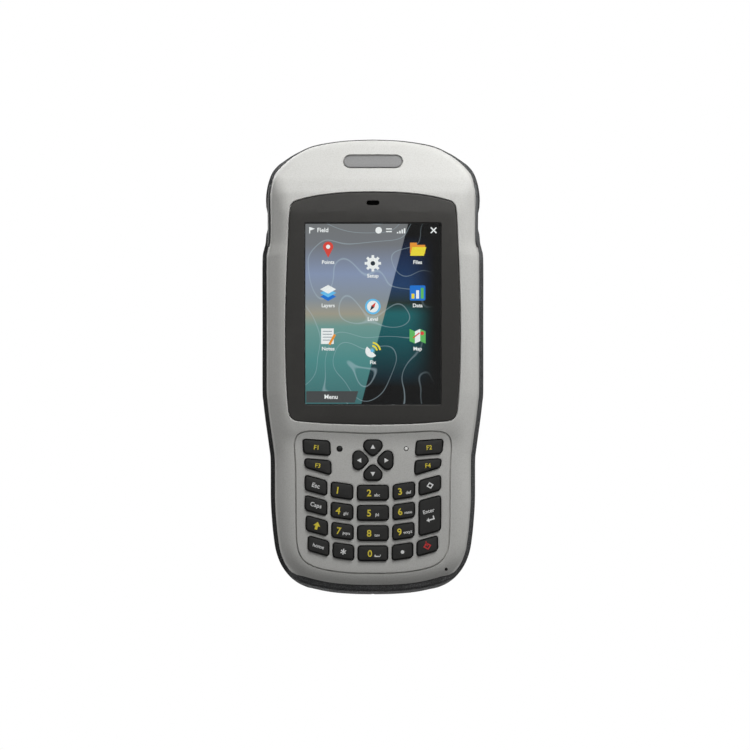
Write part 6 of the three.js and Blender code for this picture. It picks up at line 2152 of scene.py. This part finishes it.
@dataclass
class Studio:
    """Floor, backdrop, lamps and the camera."""

    distance: float = 1.2
    lens: float = 137.9
    aim: Pair = (0.00088, 0.0909)
    soft_light: float = 0.22
    floor_near: float = -4.0
    floor_bend: Pair = (1.6, 0.8)
    wall_top: float = 3.4
    floor_half: float = 4.0
    floor_drop: float = 0.0012
    lamps: Sequence[tuple[str, Triple, float, float]] = (
        ("key_lamp", (0.14, -0.25, 0.45), 0.22, 1.8), ("right_lamp", (1.0, 0.3, 0.3), 0.6, 2.2),
        ("left_lamp", (-1.0, 0.2, 0.3), 0.6, 2.0), ("top_lamp", (0.0, 0.35, 0.95), 0.7, 2.2),
        ("back_lamp", (-0.4, 0.9, 0.6), 0.7, 6.5), ("foot_lamp", (0.0, 0.75, -0.7), 0.6, 5.5),
    )

    def build(self) -> None:
        """Makes the studio."""
        self._floor()
        self._world()
        for name, place, size, power in self.lamps:
            self._lamp(name, place, size, power)
        camera = linked("camera_view", bpy.data.cameras.new("camera_view"))
        camera.location = (self.aim[0], -self.distance, self.aim[1])
        camera.rotation_euler = (math.pi / 2, 0, 0)
        camera.data.lens = self.lens
        camera.data.sensor_width = 36
        camera.data.clip_start = 0.05
        bpy.context.scene.camera = camera
        bpy.context.scene.view_settings.view_transform = "Standard"

    def _floor(self) -> None:
        """A white floor that curves up into a backdrop, seen by the camera from above only.

        Formula: a flat run, a quarter circle and an upright wall, carried across.
        """
        arc = np.linspace(0, np.pi / 2, 16)
        start, radius = self.floor_bend
        bend = np.stack([start + radius * np.sin(arc), radius - radius * np.cos(arc)], axis=1)
        run = np.concatenate([[[self.floor_near, 0.0]], bend, [[start + radius, self.wall_top]]])
        across = np.linspace(-self.floor_half, self.floor_half, 9)
        grid = np.stack(np.broadcast_arrays(across[None], run[:, :1], run[:, 1:] - self.floor_drop), axis=-1)
        rows, columns = grid.shape[:2]
        index = np.arange(rows * columns).reshape(rows, columns)
        faces = np.stack([index[:-1, :-1], index[:-1, 1:], index[1:, 1:], index[1:, :-1]], -1).reshape(-1, 4)
        mesh = bpy.data.meshes.new("studio_floor")
        mesh.from_pydata(grid.reshape(-1, 3).tolist(), [], faces.tolist())
        mesh.polygons.foreach_set("use_smooth", np.ones(len(mesh.polygons), bool))
        item = linked("studio_floor", mesh)
        made, graph, shader = blank_material("studio_paper")
        graph.feed(shader, {
            "Base Color": (0, 0, 0, 1), "Specular IOR Level": 0.0, "Emission Color": (1, 1, 1, 1),
            "Emission Strength": 1.0,
        })
        seen = graph.node("LightPath").outputs["Is Camera Ray"]
        below = graph.node("NewGeometry").outputs["Backfacing"]
        above = graph.math("SUBTRACT", seen, below, clamp=True)
        clear = graph.node("BsdfTransparent").outputs[0]
        mix = graph.node("MixShader", {0: above, 1: clear, 2: shader.outputs[0]})
        graph.feed(made.node_tree.nodes["Material Output"], {"Surface": mix.outputs[0]})
        mesh.materials.append(made)

    def _world(self) -> None:
        """White to the camera, softer as light and in mirrors."""
        world = bpy.data.worlds.new("studio_world")
        bpy.context.scene.world = world
        world.use_nodes = True
        graph = Graph(world.node_tree)
        seen = graph.node("LightPath").outputs["Is Camera Ray"]
        strength = graph.math("MULTIPLY_ADD", seen, 1 - self.soft_light, self.soft_light)
        graph.feed(world.node_tree.nodes["Background"], {"Color": (1, 1, 1, 1), "Strength": strength})

    def _lamp(self, name: str, place: Triple, size: float, power: float) -> None:
        """A square lamp that faces the object's middle."""
        data = bpy.data.lights.new(name, "AREA")
        data.size, data.energy = size, power
        item = linked(name, data)
        item.location = place
        item.rotation_euler = (Vector((0, 0, 0.095)) - Vector(place)).to_track_quat("-Z", "Y").to_euler()


def main() -> None:
    """Builds each sub-assembly in order."""
    form = CaseForm()
    joint = JointLine(form)
    screen, keypad, covers, back = Screen(form), Keypad(form), Covers(form), Back(form)
    housings = Housings(form, joint, screen, keypad, covers, back)
    for part in (housings, Band(form, joint), covers, screen, keypad, back, Ports(), Studio()):
        part.build()
        log.info("built %s", type(part).__name__)


if __name__ == "__main__":
    main()
